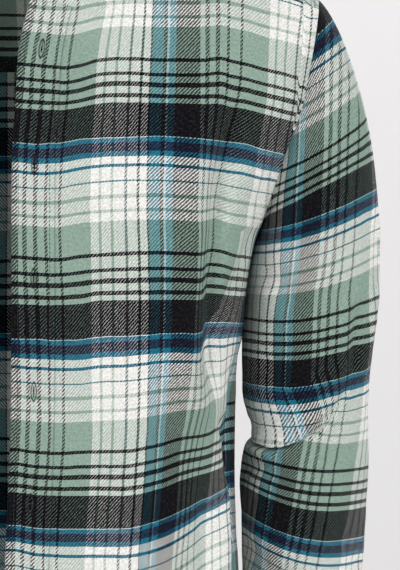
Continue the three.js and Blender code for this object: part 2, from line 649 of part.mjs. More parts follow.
// The gauntlet: the strip over the sleeve's slit, above the cuff at the back.
function gauntletGrid(sleeve) {
  const normals = normalsOf(sleeve, true);
  const columns = SLEEVE_TURNS;
  let k = 0;
  while (columns[k + 1] < GAUNTLET.turn) k += 1;
  const share = (GAUNTLET.turn - columns[k]) / (columns[k + 1] - columns[k]);
  const lift = CLOTH / 2 + LIFT + GAUNTLET.cloth / 2;
  const rows = [];
  let run = 0;
  for (let j = sleeve.length - 1; run < GAUNTLET.length; j -= 1) {
    if (rows.length) run += sleeve[j][k].distanceTo(sleeve[j + 1][k]);
    const along = sleeve[j][k + 1].clone().sub(sleeve[j][k]);
    const middle = sleeve[j][k].clone().addScaledVector(along, share);
    if (!rows.length) middle.lerp(sleeve[j - 1][k].clone().addScaledVector(along, share), GAUNTLET.start);
    const normal = normals[j][k].clone().lerp(normals[j][k + 1], share).normalize();
    const half = along.clone().setLength(GAUNTLET.width / 2);
    rows.push([1, 0, -1].map((side) => middle.clone().addScaledVector(half, side)
      .addScaledVector(normal, lift + GAUNTLET.lift)));
  }
  return rows;
}

function buttonGeometry() {
  const { radius, thick, rim, sides } = BUTTON;
  const profile = [
    [0, 0], [radius - rim, 0], [radius, rim], [radius, thick - rim], [radius - rim, thick],
    [radius - 2.2 * rim, thick], [radius - 3.4 * rim, thick - rim], [0, thick - rim],
  ];
  return new THREE.LatheGeometry(profile.map(([r, h]) => new THREE.Vector2(r, h)), sides);
}

// The shirt.
const flannel = new THREE.MeshStandardMaterial({ color: 0x8fa89b, roughness: 0.95, metalness: 0 });
const flannelDark = new THREE.MeshStandardMaterial({ color: 0x2b3640, roughness: 0.95, metalness: 0 });
const horn = new THREE.MeshStandardMaterial({ color: 0x2a2f3a, roughness: 0.35, metalness: 0 });

const shirt = new THREE.Group();
function add(name, geometry, material) {
  const mesh = new THREE.Mesh(geometry, material);
  mesh.name = name;
  shirt.add(mesh);
  return mesh;
}

function addButton(name, seat) {
  const mesh = add(name, buttonGeometry(), horn);
  mesh.quaternion.setFromUnitVectors(vec(0, 1, 0), seat.normal);
  mesh.position.copy(seat.point).addScaledVector(seat.normal, BUTTON.shank);
  return mesh;
}

const mirroredSeat = ({ point, normal }) => ({
  point: vec(-point.x, point.y, point.z), normal: vec(-normal.x, normal.y, normal.z),
});

const frontSides = ['end', 'top'];
add('left_front', wall(drawnBack(frontGrid('left_front'), frontSides), CLOTH), flannel);
add('right_front', mirrored(wall(drawnBack(frontGrid('right_front'), frontSides), CLOTH)), flannel);
add('back', wall(drawnBack(backGrid(), ['start', 'end', 'top']), CLOTH), flannel);
add('yoke', wall(drawnBack(yokeGrid(), ['start', 'end', 'bottom', 'top']), CLOTH), flannelDark);
add('left_placket', wall(placketGrid('left_front'), PLACKET.cloth), flannel);
const rightPlacket = placketGrid('right_front');
add('right_placket', mirrored(wall(rightPlacket, PLACKET.cloth)), flannel);
add('collar_stand', wall(standGrid(), STAND.cloth), flannelDark);
add('collar_leaf', wall(leafGrid(), LEAF.cloth), flannel);

const sleeve = sleeveGrid();
const cuff = cuffGrid();
const gauntlet = gauntletGrid(sleeve);
const leftArm = {
  sleeve: wall(sleeve, CLOTH, true), cuff: wall(cuff, CUFF.cloth), gauntlet: wall(gauntlet, GAUNTLET.cloth),
};
for (const [part, geometry] of Object.entries(leftArm)) {
  add(`left_${part}`, geometry, flannel);
  add(`right_${part}`, mirrored(geometry), flannel);
}

FRONT_BUTTON_Z.forEach((z, i) => addButton(`front_button_${i + 1}`, mirroredSeat(placketSeat(rightPlacket, z))));
addButton('collar_button', mirroredSeat(seatOn(standGrid(), 0, 0.5, 1, STAND.cloth)));
const cuffSeat = seatOn(cuff, cuff[0].length - 2, 0.1, 1, CUFF.cloth);
addButton('left_cuff_button', cuffSeat);
addButton('right_cuff_button', mirroredSeat(cuffSeat));

export default shirt;
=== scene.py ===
# %% [markdown]
# # A flannel overshirt, worn open
# This lesson dresses a shirt whose plain solids are already modelled. Each sewn piece is rebuilt
# as fine cloth with its own folds, and gets a woven check, seams, stitches and buttons.
# Lengths in the cells are millimetres, as a tailor would say them, and are turned into metres
# only when a mesh is made.

# %% Load the plain model
import json
import math
import bpy
import bmesh
import numpy as np
from mathutils import Matrix, Vector

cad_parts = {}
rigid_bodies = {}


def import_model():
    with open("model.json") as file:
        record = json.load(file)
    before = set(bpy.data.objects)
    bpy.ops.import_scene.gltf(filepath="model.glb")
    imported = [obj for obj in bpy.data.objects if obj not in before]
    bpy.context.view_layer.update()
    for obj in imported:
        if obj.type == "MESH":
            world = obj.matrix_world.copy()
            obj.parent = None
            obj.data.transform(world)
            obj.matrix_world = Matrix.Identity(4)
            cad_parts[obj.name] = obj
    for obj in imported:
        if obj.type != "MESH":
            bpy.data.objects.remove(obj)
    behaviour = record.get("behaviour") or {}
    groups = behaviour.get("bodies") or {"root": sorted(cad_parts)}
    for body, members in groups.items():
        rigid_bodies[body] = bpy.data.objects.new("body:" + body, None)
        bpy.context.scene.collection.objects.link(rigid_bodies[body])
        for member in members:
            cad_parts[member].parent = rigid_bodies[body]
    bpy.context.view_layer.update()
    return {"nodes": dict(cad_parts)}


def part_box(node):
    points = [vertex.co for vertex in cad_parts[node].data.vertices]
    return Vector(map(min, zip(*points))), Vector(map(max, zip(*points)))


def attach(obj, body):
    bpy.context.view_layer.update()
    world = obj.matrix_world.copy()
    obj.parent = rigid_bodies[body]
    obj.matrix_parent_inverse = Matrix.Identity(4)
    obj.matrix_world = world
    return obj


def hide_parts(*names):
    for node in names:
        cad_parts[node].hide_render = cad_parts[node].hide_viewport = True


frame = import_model()
print("nodes to dress:", len(frame["nodes"]))

# %% [markdown]
# ## Camera, light and a pale room
# The shirt is seen from a few metres off, at chest height, so a long lens keeps its shape flat.
# Light comes from one big soft lamp at the front left and a pale room all round, which leaves
# only faint shadows in the folds, as in a clothing studio.

# %% Camera
MM = 0.001
VIEW_POINT = Vector((0.171, -2.730, -0.292))
VIEW_WIDTH = 0.320
VIEW_PLANE = -0.130

eye = bpy.data.cameras.new("eye")
eye.sensor_fit = "HORIZONTAL"
eye.sensor_width = 36.0
eye.lens = 36.0 * (VIEW_PLANE - VIEW_POINT.y) / VIEW_WIDTH
eye_object = bpy.data.objects.new("eye", eye)
eye_object.location = VIEW_POINT
eye_object.rotation_euler = (math.pi / 2, 0, 0)
bpy.context.scene.collection.objects.link(eye_object)
bpy.context.scene.camera = eye_object
bpy.context.scene.view_settings.view_transform = "Standard"
print("lens", round(eye.lens, 1), "mm")


# %% Lamps and room
def lamp(name, place, aim, size, watts, colour=(1, 1, 1)):
    light = bpy.data.lights.new(name, "AREA")
    light.shape = "DISK"
    light.size = size
    light.energy = watts
    light.color = colour
    thing = bpy.data.objects.new(name, light)
    thing.location = place
    thing.rotation_euler = (Vector(aim) - Vector(place)).to_track_quat("-Z", "Y").to_euler()
    bpy.context.scene.collection.objects.link(thing)


ROOM_LIGHT = 0.605
lamp("key", (-1.5, -2.6, 1.2), (0.15, 0, -0.3), 1.5, 48)
lamp("fill", (2.2, -1.6, 0.3), (0.2, 0, -0.3), 1.6, 26)
lamp("behind", (0.6, 1.6, 1.2), (0.1, 0, -0.3), 1.6, 19)
room = bpy.data.worlds.new("room")
room.use_nodes = True
room.node_tree.nodes["Background"].inputs["Color"].default_value = (0.985, 0.985, 1.0, 1)
room.node_tree.nodes["Background"].inputs["Strength"].default_value = ROOM_LIGHT
bpy.context.scene.world = room


def plain_sheet(name, corners, colour):
    shape = bpy.data.meshes.new(name)
    shape.from_pydata(corners, [], [(0, 1, 2, 3)])
    thing = bpy.data.objects.new(name, shape)
    bpy.context.scene.collection.objects.link(thing)
    paint = bpy.data.materials.new(name)
    paint.use_nodes = True
    shader = paint.node_tree.nodes["Principled BSDF"]
    shader.inputs["Base Color"].default_value = (*colour, 1)
    shader.inputs["Roughness"].default_value = 0.9
    shape.materials.append(paint)
    return thing


FLOOR = -1.45
plain_sheet("floor", [(-4, -5, FLOOR), (4, -5, FLOOR), (4, 2.2, FLOOR), (-4, 2.2, FLOOR)], (0.80, 0.80, 0.80))
plain_sheet("backdrop", [(-4, 2.2, FLOOR), (4, 2.2, FLOOR), (4, 2.2, 3), (-4, 2.2, 3)], (0.815, 0.80, 0.80))
print("room ready")

# %% [markdown]
# ## The dimensions that the solids were cut from
# The fine cloth has to lie where the plain solids lie, so it starts from the same few tables:
# sections of the chest, the line of the shoulders, the open front edge and the rings of a sleeve.

# %% Tables of the form
CLOTH = 1.6
HEM_FRONT, HEM_BACK, HEM_SIDE = -742, -752, -700
SHOULDER_DROP = 10
NECK_HALF, NECK_CORNER, NECK_BACK_TURN = 76, 74, 0.5
ARCH = {"front": 100, "back": 110}
ARM_MIDDLE, ARM_HALF = -147, 94
ARM_DEPTH = {"front": 62, "back": 66}
YOKE_FRONT_TURN, YOKE_BACK_TURN = 28, 62.5
YOKE_BACK = ARM_MIDDLE + ARM_HALF * math.cos(math.radians(YOKE_BACK_TURN))
UNDERARM = ARM_MIDDLE - ARM_HALF
BAND = 33
BUTTON_HEIGHTS = (-102, -197, -287, -377, -467, -557, -647)


def table(columns, rows):
    return {name: np.array(values, float) for name, values in zip(columns.split(), zip(*rows))}


BODY = table("z half front back front_square back_square", [
    (-790, 215, 142, 150, 2.9, 2.6), (-700, 211, 140, 147, 2.9, 2.6),
    (-600, 206, 137, 143, 2.95, 2.65), (-532, 202.6, 135, 139, 3.0, 2.7),
    (-490, 200, 133, 136, 3.0, 2.7), (-440, 199, 132, 133, 3.0, 2.7),
    (-388, 199.8, 132, 131, 3.0, 2.7), (-352, 201.6, 133, 131, 3.0, 2.65),
    (-332, 206.2, 134, 132, 3.0, 2.6), (-296, 209.4, 135, 134, 3.05, 2.6),
    (-270, 213.5, 136, 136, 3.1, 2.6), (-254, 217.2, 136, 138, 3.1, 2.65),
    (-241, 222, 136, 140, 3.15, 2.7), (-210, 234.5, 136, 142, 3.2, 2.8),
    (-181, 247.7, 133, 143, 3.2, 2.8), (-147, 261.7, 130, 142, 3.2, 2.8),
    (-128, 266.5, 127, 141, 3.2, 2.8), (-83, 277.5, 119, 136, 3.2, 2.8),
    (-53, 284, 114, 131, 3.2, 2.8), (0, 292, 104, 120, 3.2, 2.8),
    (40, 296, 98, 114, 3.2, 2.8)])
RIDGE = table("x z", [(0, 16), (40, 13), (76, 2), (120, -10), (170, -24), (220, -38), (270, -53), (315, -69)])
FRONT_EDGE = table("z x", [
    (-790, 11), (-600, 15), (-520, 17), (-400, 21.5), (-184, 23), (-144, 25.5), (-104, 27.5),
    (-80, 32), (-64, 36), (-50, 41), (-30, 55), (-7.5, 74), (40, 90)])
SLEEVE = table("run in_x in_z out_x out_z mid_y half dip", [
    (0, 219.9, -257, 317.5, -199, 2, 60, 8), (1, 214.7, -281, 321, -238, 4, 62, 10),
    (2, 210.6, -305, 322, -273, 6, 62, 10), (3, 208.4, -333, 320.2, -307, 9, 61, 10),
    (4, 207.8, -360, 316, -343, 12, 60, 10), (5, 208.6, -385, 312.6, -378, 15, 58, 9),
    (6, 213.5, -409, 312, -412, 17, 57, 8), (7, 208.5, -430, 312, -443, 17, 58, 6),
    (8, 205.2, -457, 311, -474, 14, 57, 4), (9, 206.8, -489, 309, -508, 9, 54, 2),
    (10, 207, -524, 305, -541, 2, 51, 0), (11, 209, -556, 299, -571, -7, 48, -2),
    (12, 214, -585, 292, -594, -16, 42, -4), (13, 220, -601, 285, -607, -21, 34, -4)])
print(len(BODY["z"]), "sections,", len(SLEEVE["run"]), "sleeve rings")


# %% Reading a table smoothly
def lerp(a, b, t):
    return a + (b - a) * t


def read(rows, key, column, at):
    """The value of a column where the key column is at `at`, smooth between rows."""
    return smooth_through(rows[key], rows[column], at)


def smooth_through(x, y, at):
    at = np.asarray(at, float)
    n = len(x)
    before = np.maximum(np.arange(n) - 1, 0)
    after = np.minimum(np.arange(n) + 1, n - 1)
    slope = (y[after] - y[before]) / (x[after] - x[before])
    i = np.clip(np.searchsorted(x, at, side="left") - 1, 0, n - 2)
    span = x[i + 1] - x[i]
    t = np.clip((at - x[i]) / span, 0, 1)
    t2, t3 = t * t, t * t * t
    return ((2 * t3 - 3 * t2 + 1) * y[i] + (t3 - 2 * t2 + t) * span * slope[i]
            + (3 * t2 - 2 * t3) * y[i + 1] + (t3 - t2) * span * slope[i + 1])


def halving(f, low, high, steps=34):
    """The roots of a function that falls from low to high, for a whole array at once."""
    low, high = np.broadcast_arrays(np.asarray(low, float), np.asarray(high, float))
    low, high = low.copy(), high.copy()
    for _ in range(steps):
        middle = (low + high) / 2
        over = f(middle) > 0
        low = np.where(over, middle, low)
        high = np.where(over, high, middle)
    return (low + high) / 2


def unit(v):
    return v / np.maximum(np.linalg.norm(v, axis=-1, keepdims=True), 1e-12)


# %% The form of the chest and shoulders
HEIGHTS = np.linspace(-800, 45, 330)
SHARES = np.linspace(0, 1, 220)


def section_lookup(face):
    """x, y and the length of each quarter section, for many heights and shares of its length."""
    turn = np.linspace(0, math.pi / 2, 500)
    half = read(BODY, "z", "half", HEIGHTS)[:, None]
    depth = read(BODY, "z", face, HEIGHTS)[:, None]
    power = 2 / read(BODY, "z", face + "_square", HEIGHTS)[:, None]
    x = half * np.sin(turn) ** power
    y = depth * np.clip(np.cos(turn), 0, 1) ** power
    run = np.cumsum(np.hypot(np.diff(x, prepend=0), np.diff(y, prepend=y[:, :1])), axis=1)
    at_x = np.array([np.interp(SHARES * r[-1], r, row) for r, row in zip(run, x)])
    at_y = np.array([np.interp(SHARES * r[-1], r, row) for r, row in zip(run, y)])
    return {"x": at_x, "y": at_y, "side": run[:, -1]}


SECTION = {face: section_lookup(face) for face in ("front", "back")}


def look(grid, share, z):
    a = np.clip(share, 0, 1) * (len(SHARES) - 1)
    b = np.clip((z - HEIGHTS[0]) / (HEIGHTS[1] - HEIGHTS[0]), 0, len(HEIGHTS) - 1)
    i = np.minimum(a.astype(int), len(SHARES) - 2)
    j = np.minimum(b.astype(int), len(HEIGHTS) - 2)
    s, t = a - i, b - j
    return ((grid[j, i] * (1 - s) + grid[j, i + 1] * s) * (1 - t)
            + (grid[j + 1, i] * (1 - s) + grid[j + 1, i + 1] * s) * t)


def side_run(z, face):
    return np.interp(z, HEIGHTS, SECTION[face]["side"])


def ridge(x):
    return read(RIDGE, "x", "z", np.abs(x))


def arch(x, z, face):
    """The share of the chest's depth reached at a height, as the cloth rounds over the shoulder."""
    t = np.clip((ridge(x) - z) / ARCH[face], 0, 1)
    return np.sqrt(1 - (1 - t) ** 2)


def depth_at(x, z, face):
    half = read(BODY, "z", "half", z)
    square = read(BODY, "z", face + "_square", z)
    return read(BODY, "z", face, z) * np.clip(1 - (np.abs(x) / half) ** square, 0, 1) ** (1 / square)


def on_body(q, z, face):
    """Points of the shirt's body: q is the distance round it from the centre line."""
    q, z = np.broadcast_arrays(np.asarray(q, float), np.asarray(z, float))
    share = np.abs(q) / side_run(z, face)
    x = look(SECTION[face]["x"], share, z)
    y = look(SECTION[face]["y"], share, z) * arch(x, z, face)
    return np.stack([np.sign(q) * x, -y if face == "front" else y, z], axis=-1)


def run_to(x, z, face):
    """The distance round the body to a given x."""
    x, z = np.broadcast_arrays(np.asarray(x, float), np.asarray(z, float))
    share = halving(lambda s: x - look(SECTION[face]["x"], s, z), np.zeros(x.shape), np.ones(x.shape))
    return share * side_run(z, face)


def armhole(degrees):
    """Points round the armhole from its top, through the front, to the underarm and the back."""
    turn = np.radians(np.asarray(degrees, float))
    z = ARM_MIDDLE + ARM_HALF * np.cos(turn)
    front = np.sin(turn) >= 0
    y = np.abs(np.sin(turn)) * np.where(front, ARM_DEPTH["front"], ARM_DEPTH["back"])
    half = read(BODY, "z", "half", z)
    found = {}
    for face in ("front", "back"):
        found[face] = halving(lambda x: depth_at(x, z, face) * arch(x, z, face) - y, np.full(z.shape, 120.0), half)
    x = np.where(front, found["front"], found["back"])
    at_top = halving(lambda x: ridge(x) - z, np.full(z.shape, 150.0), np.full(z.shape, 300.0))
    x = np.where((y < 1e-6) & (z > ARM_MIDDLE), at_top, x)
    return np.stack([x, np.where(front, -y, y), z], axis=-1)


def over_shoulder(x, turn):
    """Points on the top of the shoulders: turn is the angle over the arch, negative in front."""
    x, turn = np.broadcast_arrays(np.asarray(x, float), np.asarray(turn, float))
    reach = np.where(turn < 0, ARCH["front"], ARCH["back"])
    z = ridge(x) - reach * (1 - np.cos(turn))
    deep = np.where(turn < 0, depth_at(x, z, "front"), depth_at(x, z, "back"))
    return np.stack([x, np.sign(turn) * deep * np.abs(np.sin(turn)), z], axis=-1)


print("chest front at the armhole's middle:", np.round(on_body(150.0, -147.0, "front"), 1))


# %% Uneven noise for folds
rng = np.random.default_rng(11)
NOISE = rng.uniform(-1, 1, (64, 64))


def uneven(a, b, size):
    """Smooth noise between -1 and 1 over two lengths, with lumps about `size` across."""
    x, y = np.asarray(a, float) / size + 700.3, np.asarray(b, float) / size + 700.7
    i, j = np.floor(x).astype(int), np.floor(y).astype(int)
    s, t = x - i, y - j
    s, t = s * s * (3 - 2 * s), t * t * (3 - 2 * t)
    n = NOISE
    low = n[j % 64, i % 64] * (1 - s) + n[j % 64, (i + 1) % 64] * s
    high = n[(j + 1) % 64, i % 64] * (1 - s) + n[(j + 1) % 64, (i + 1) % 64] * s
    return low * (1 - t) + high * t


def fold(a, b, path, wide, deep, lean=0.0, fade=0.22):
    """How far one fold presses the cloth in. The path is given in the cloth's own lengths a and b;
    lean makes one flank steeper than the other; the fold dies out towards its ends."""
    path = np.asarray(path, float)
    steps = np.diff(path, axis=0)
    lengths = np.hypot(steps[:, 0], steps[:, 1])
    total = lengths.sum()
    best = np.full(a.shape, 1e9)
    off = np.zeros(a.shape)
    along = np.zeros(a.shape)
    start = 0.0
    for k, (dx, dy) in enumerate(steps):
        x, y = a - path[k, 0], b - path[k, 1]
        t = np.clip((x * dx + y * dy) / lengths[k] ** 2, 0, 1)
        away = np.hypot(x - t * dx, y - t * dy)
        closer = away < best
        side = np.sign(x * dy - y * dx)
        best = np.where(closer, away, best)
        off = np.where(closer, away * side, off)
        along = np.where(closer, (start + t * lengths[k]) / total, along)
        start += lengths[k]
    flank = wide * np.where(off > 0, 1 + lean, 1 - lean)
    strength = np.clip(np.minimum(along, 1 - along) / fade, 0, 1)
    strength = strength * strength * (3 - 2 * strength)
    strength = strength * (1 + 0.22 * uneven(a, b, 34.0))
    return deep * strength * np.exp(-((off / flank) ** 2))


print("noise ready")

# %% [markdown]
# ## Making cloth from a grid
# A panel is worked out as a grid of points down its middle. The wall is then given its thickness on
# both sides, and a rounded rim closes each edge. A buttonhole is a real cut: one line of the grid
# is parted there. The grid also carries two cloth coordinates, across and down the weave, in
# metres of flat cloth, so that the check bends and slips with the folds as a woven one does.

# %% Cloth walls
def grid_normals(grid, around=False):
    if around:
        left = np.concatenate([grid[:, -2:-1], grid[:, :-1]], axis=1)
        right = np.concatenate([grid[:, 1:], grid[:, 1:2]], axis=1)
    else:
        left = np.concatenate([grid[:, :1], grid[:, :-1]], axis=1)
        right = np.concatenate([grid[:, 1:], grid[:, -1:]], axis=1)
    below = np.concatenate([grid[:1], grid[:-1]])
    above = np.concatenate([grid[1:], grid[-1:]])
    return unit(np.cross(right - left, above - below))


def part_line(points, ids, corners, grid, column, low, high, wide, parted):
    """Parts one column of the grid between two rows, as a buttonhole is cut. Some may be parted before."""
    extra = []
    for j in range(low + 1, high):
        gape = wide * math.sin(math.pi * (j - low) / (high - low)) ** 0.7 / 2
        across = unit(grid[j, column + 1] - grid[j, column - 1])
        for k in range(1, 6):
            push = gape * math.exp(-((k / 2.6) ** 2))
            points[ids[j, column + k]] += across * push
            points[ids[j, column - k]] -= across * push
        twin = len(points) + parted + len(extra)
        extra.append((ids[j, column], points[ids[j, column]] + across * gape))
        points[ids[j, column]] -= across * gape
        corners[j - 1, column, 3] = twin
        corners[j, column, 0] = twin
    return extra


def mesh_object(name, points, faces, face_uv, paints):
    shape = bpy.data.meshes.new(name)
    shape.vertices.add(len(points))
    shape.vertices.foreach_set("co", (np.asarray(points) * MM).astype(np.float32).ravel())
    shape.loops.add(faces.size)
    shape.loops.foreach_set("vertex_index", faces.astype(np.int32).ravel())
    shape.polygons.add(len(faces))
    shape.polygons.foreach_set("loop_start", np.arange(0, faces.size, faces.shape[1], dtype=np.int32))
    shape.update(calc_edges=True)
    shape.validate()
    if face_uv is not None:
        for k, name_of in enumerate(("UVMap", "Twill")):
            layer = shape.uv_layers.new(name=name_of)
            layer.data.foreach_set("uv", np.ascontiguousarray(face_uv[..., 2 * k:2 * k + 2], np.float32).ravel())
    shape.shade_smooth()
    for paint in paints:
        shape.materials.append(paint)
    thing = bpy.data.objects.new(name, shape)
    bpy.context.scene.collection.objects.link(thing)
    return thing


AREAS = {}


def cloth(name, grid, weave, thick, paint, around=False, cuts=()):
    """A closed wall of cloth about a grid of points in millimetres, rows by columns."""
    rows, columns = grid.shape[:2]
    if weave.shape[-1] == 2:
        weave = np.concatenate([weave, weave], axis=-1)
    normal = grid_normals(grid, around).reshape(-1, 3)
    thick = np.broadcast_to(thick, (rows, columns)).reshape(-1)
    ids = np.arange(rows * columns).reshape(rows, columns)
    if around:
        ids = ids.copy()
        ids[:, -1] = ids[:, 0]
    corners = np.stack([ids[:-1, :-1], ids[:-1, 1:], ids[1:, 1:], ids[1:, :-1]], axis=-1)
    corner_uv = np.stack([weave[:-1, :-1], weave[:-1, 1:], weave[1:, 1:], weave[1:, :-1]], axis=-2)
    points = grid.reshape(-1, 3).copy()
    extra = []
    for column, low, high, wide in cuts:
        extra += part_line(points, ids, corners, grid, column, low, high, wide, len(extra))
    if extra:
        twins = np.array([k for k, _ in extra])
        points = np.concatenate([points, np.array([p for _, p in extra])])
        normal = np.concatenate([normal, normal[twins]])
        thick = np.concatenate([thick, thick[twins]])
    quads = corners.reshape(-1, 4)
    quad_uv = corner_uv.reshape(-1, 4, 4)
    a, b = points[quads[:, 2]] - points[quads[:, 0]], points[quads[:, 3]] - points[quads[:, 1]]
    AREAS[name] = float(np.linalg.norm(np.cross(a, b), axis=1).sum() / 2e6)
    count = len(points)
    starts = quads
    ends = np.roll(quads, -1, axis=1)
    forward = (starts.astype(np.int64) * count + ends).ravel()
    backward = (ends.astype(np.int64) * count + starts).ravel()
    rim = ~np.isin(forward, backward)
    from_id, to_id = starts.ravel()[rim], ends.ravel()[rim]
    from_uv = quad_uv.reshape(-1, 4)[rim]
    to_uv = np.roll(quad_uv, -1, axis=1).reshape(-1, 4)[rim]
    away = np.zeros((count, 3))
    tangent = points[to_id] - points[from_id]
    for ends_of in (from_id, to_id):
        np.add.at(away, ends_of, np.cross(tangent, normal[ends_of]))
    edge_ids = np.unique(from_id)
    place = np.full(count, -1)
    place[edge_ids] = 2 * count + np.arange(len(edge_ids))
    half = thick[:, None] / 2
    middle = points[edge_ids] + unit(away[edge_ids]) * half[edge_ids] * 0.9
    everything = np.concatenate([points + normal * half, points - normal * half, middle])
    front_rim = np.stack([to_id, from_id, place[from_id], place[to_id]], axis=1)
    back_rim = np.stack([place[to_id], place[from_id], from_id + count, to_id + count], axis=1)
    rim_uv = np.stack([to_uv, from_uv, from_uv, to_uv], axis=1)
    faces = np.concatenate([quads, quads[:, ::-1] + count, front_rim, back_rim])
    uv = np.concatenate([quad_uv, quad_uv[:, ::-1], rim_uv, rim_uv])
    used = np.unique(faces)
    renumber = np.full(len(everything), -1)
    renumber[used] = np.arange(len(used))
    piece = mesh_object(name, everything[used], renumber[faces], uv, [paint])
    wide = np.linalg.norm(np.diff(grid, axis=1), axis=-1).sum(axis=1).max()
    long = np.linalg.norm(np.diff(grid, axis=0), axis=-1).sum(axis=0).max()
    print(name, "-", 2 * len(faces), "triangles, cut", round(wide), "by", round(long), "mm,", round(AREAS[name], 4), "m2")
    return piece


# %% [markdown]
# ## The woven check
# Brushed flannel in a two-over-two twill. A list of coloured warp threads runs down the cloth and a
# list of weft threads runs across it. At each crossing one of them is on top, in a diagonal that
# climbs to the right, and the darker thread always shows a little more, as it does in the hand.
# Both lists are written as a weaver would: a colour and how many millimetres of it.

# %% Thread lists
def thread(red, green, blue):
    def straight(c):
        c = c / 255
        return c / 12.92 if c <= 0.04045 else ((c + 0.055) / 1.055) ** 2.4
    return (straight(red), straight(green), straight(blue), 1.0)


WHITE = thread(228, 227, 222)
SAGE = thread(136, 158, 145)
BLACK = thread(9, 7, 12)
TEAL = thread(16, 94, 118)
WARP_TEAL = thread(32, 112, 130)
NAVY = thread(22, 27, 52)
FLECK = thread(178, 200, 210)
PALE_BLUE = thread(150, 186, 202)
DARK = thread(84, 92, 98)
DIM_TEAL = thread(66, 112, 122)

CHART_MM = 0.8
WARP = [(SAGE, 27.5), (WHITE, 8), (SAGE, 3), (WHITE, 9.5), (SAGE, 3), (WHITE, 11.5), (DARK, 2.5),
        (WHITE, 10.5), (BLACK, 2.5), (WHITE, 7.5), (BLACK, 2), (WARP_TEAL, 10.5), (BLACK, 3.5), (PALE_BLUE, 1.5),
        (WARP_TEAL, 6.5), (BLACK, 22.5), (SAGE, 5), (BLACK, 3.5), (SAGE, 6.5), (BLACK, 4), (SAGE, 7),
        (BLACK, 2.5), (SAGE, 11), (BLACK, 3)]
WEFT = [(BLACK, 30.8), (FLECK, 1.1), (TEAL, 4.3), (NAVY, 9.3), (TEAL, 5.5), (WHITE, 7.5), (TEAL, 3),
        (WHITE, 12.8), (DIM_TEAL, 1.9), (WHITE, 12.3), (SAGE, 3.5), (WHITE, 10.5), (SAGE, 3.5), (WHITE, 8),
        (SAGE, 31.5), (BLACK, 3.5), (SAGE, 12.5), (BLACK, 3.5), (SAGE, 7.5), (BLACK, 5), (SAGE, 8),
        (BLACK, 4), (SAGE, 6)]
WARP_REPEAT = sum(w for _, w in WARP)
WEFT_REPEAT = sum(w for _, w in WEFT)
WARP_PITCH, WEFT_PITCH = 0.698, 0.785
print("one check is", WARP_REPEAT * CHART_MM, "by", WEFT_REPEAT * CHART_MM, "mm")


# %% Small helpers for shader trees
def new_paint(name):
    paint = bpy.data.materials.new(name)
    paint.use_nodes = True
    return paint, paint.node_tree, paint.node_tree.nodes["Principled BSDF"]


def sum_node(tree, operation, first, second=None, clamp=False):
    node = tree.nodes.new("ShaderNodeMath")
    node.operation = operation
    node.use_clamp = clamp
    for slot, value in zip(node.inputs, (first, second)):
        if value is None:
            continue
        if isinstance(value, (int, float)):
            slot.default_value = value
        else:
            tree.links.new(value, slot)
    return node.outputs[0]


def blend_node(tree, share, first, second, kind="FLOAT", way="MIX"):
    node = tree.nodes.new("ShaderNodeMix")
    node.data_type = kind
    if kind == "RGBA":
        node.blend_type = way
    slots = {"FLOAT": (0, 2, 3, 0), "RGBA": (0, 6, 7, 2)}[kind]
    for slot, value in zip(slots[:3], (share, first, second)):
        if hasattr(value, "is_output"):
            tree.links.new(value, node.inputs[slot])
        else:
            node.inputs[slot].default_value = value
    return node.outputs[slots[3]]


def noise_node(tree, at, scale, detail=2.0, rough=0.5):
    node = tree.nodes.new("ShaderNodeTexNoise")
    node.inputs["Scale"].default_value = scale
    node.inputs["Detail"].default_value = detail
    node.inputs["Roughness"].default_value = rough
    tree.links.new(at, node.inputs["Vector"])
    return node.outputs[0]


def stripes(tree, place, threads):
    """A ramp with one flat band for each entry of a thread list."""
    node = tree.nodes.new("ShaderNodeValToRGB")
    ramp = node.color_ramp
    ramp.interpolation = "CONSTANT"
    repeat = sum(w for _, w in threads)
    at = 0.0
    for k, (colour, wide) in enumerate(threads):
        stop = ramp.elements[0] if k == 0 else ramp.elements.new(at / repeat)
        if k == 0:
            stop.position = 0.0
            ramp.elements.remove(ramp.elements[1])
        stop.color = colour
        at += wide
    tree.links.new(place, node.inputs["Fac"])
    return node.outputs["Color"]


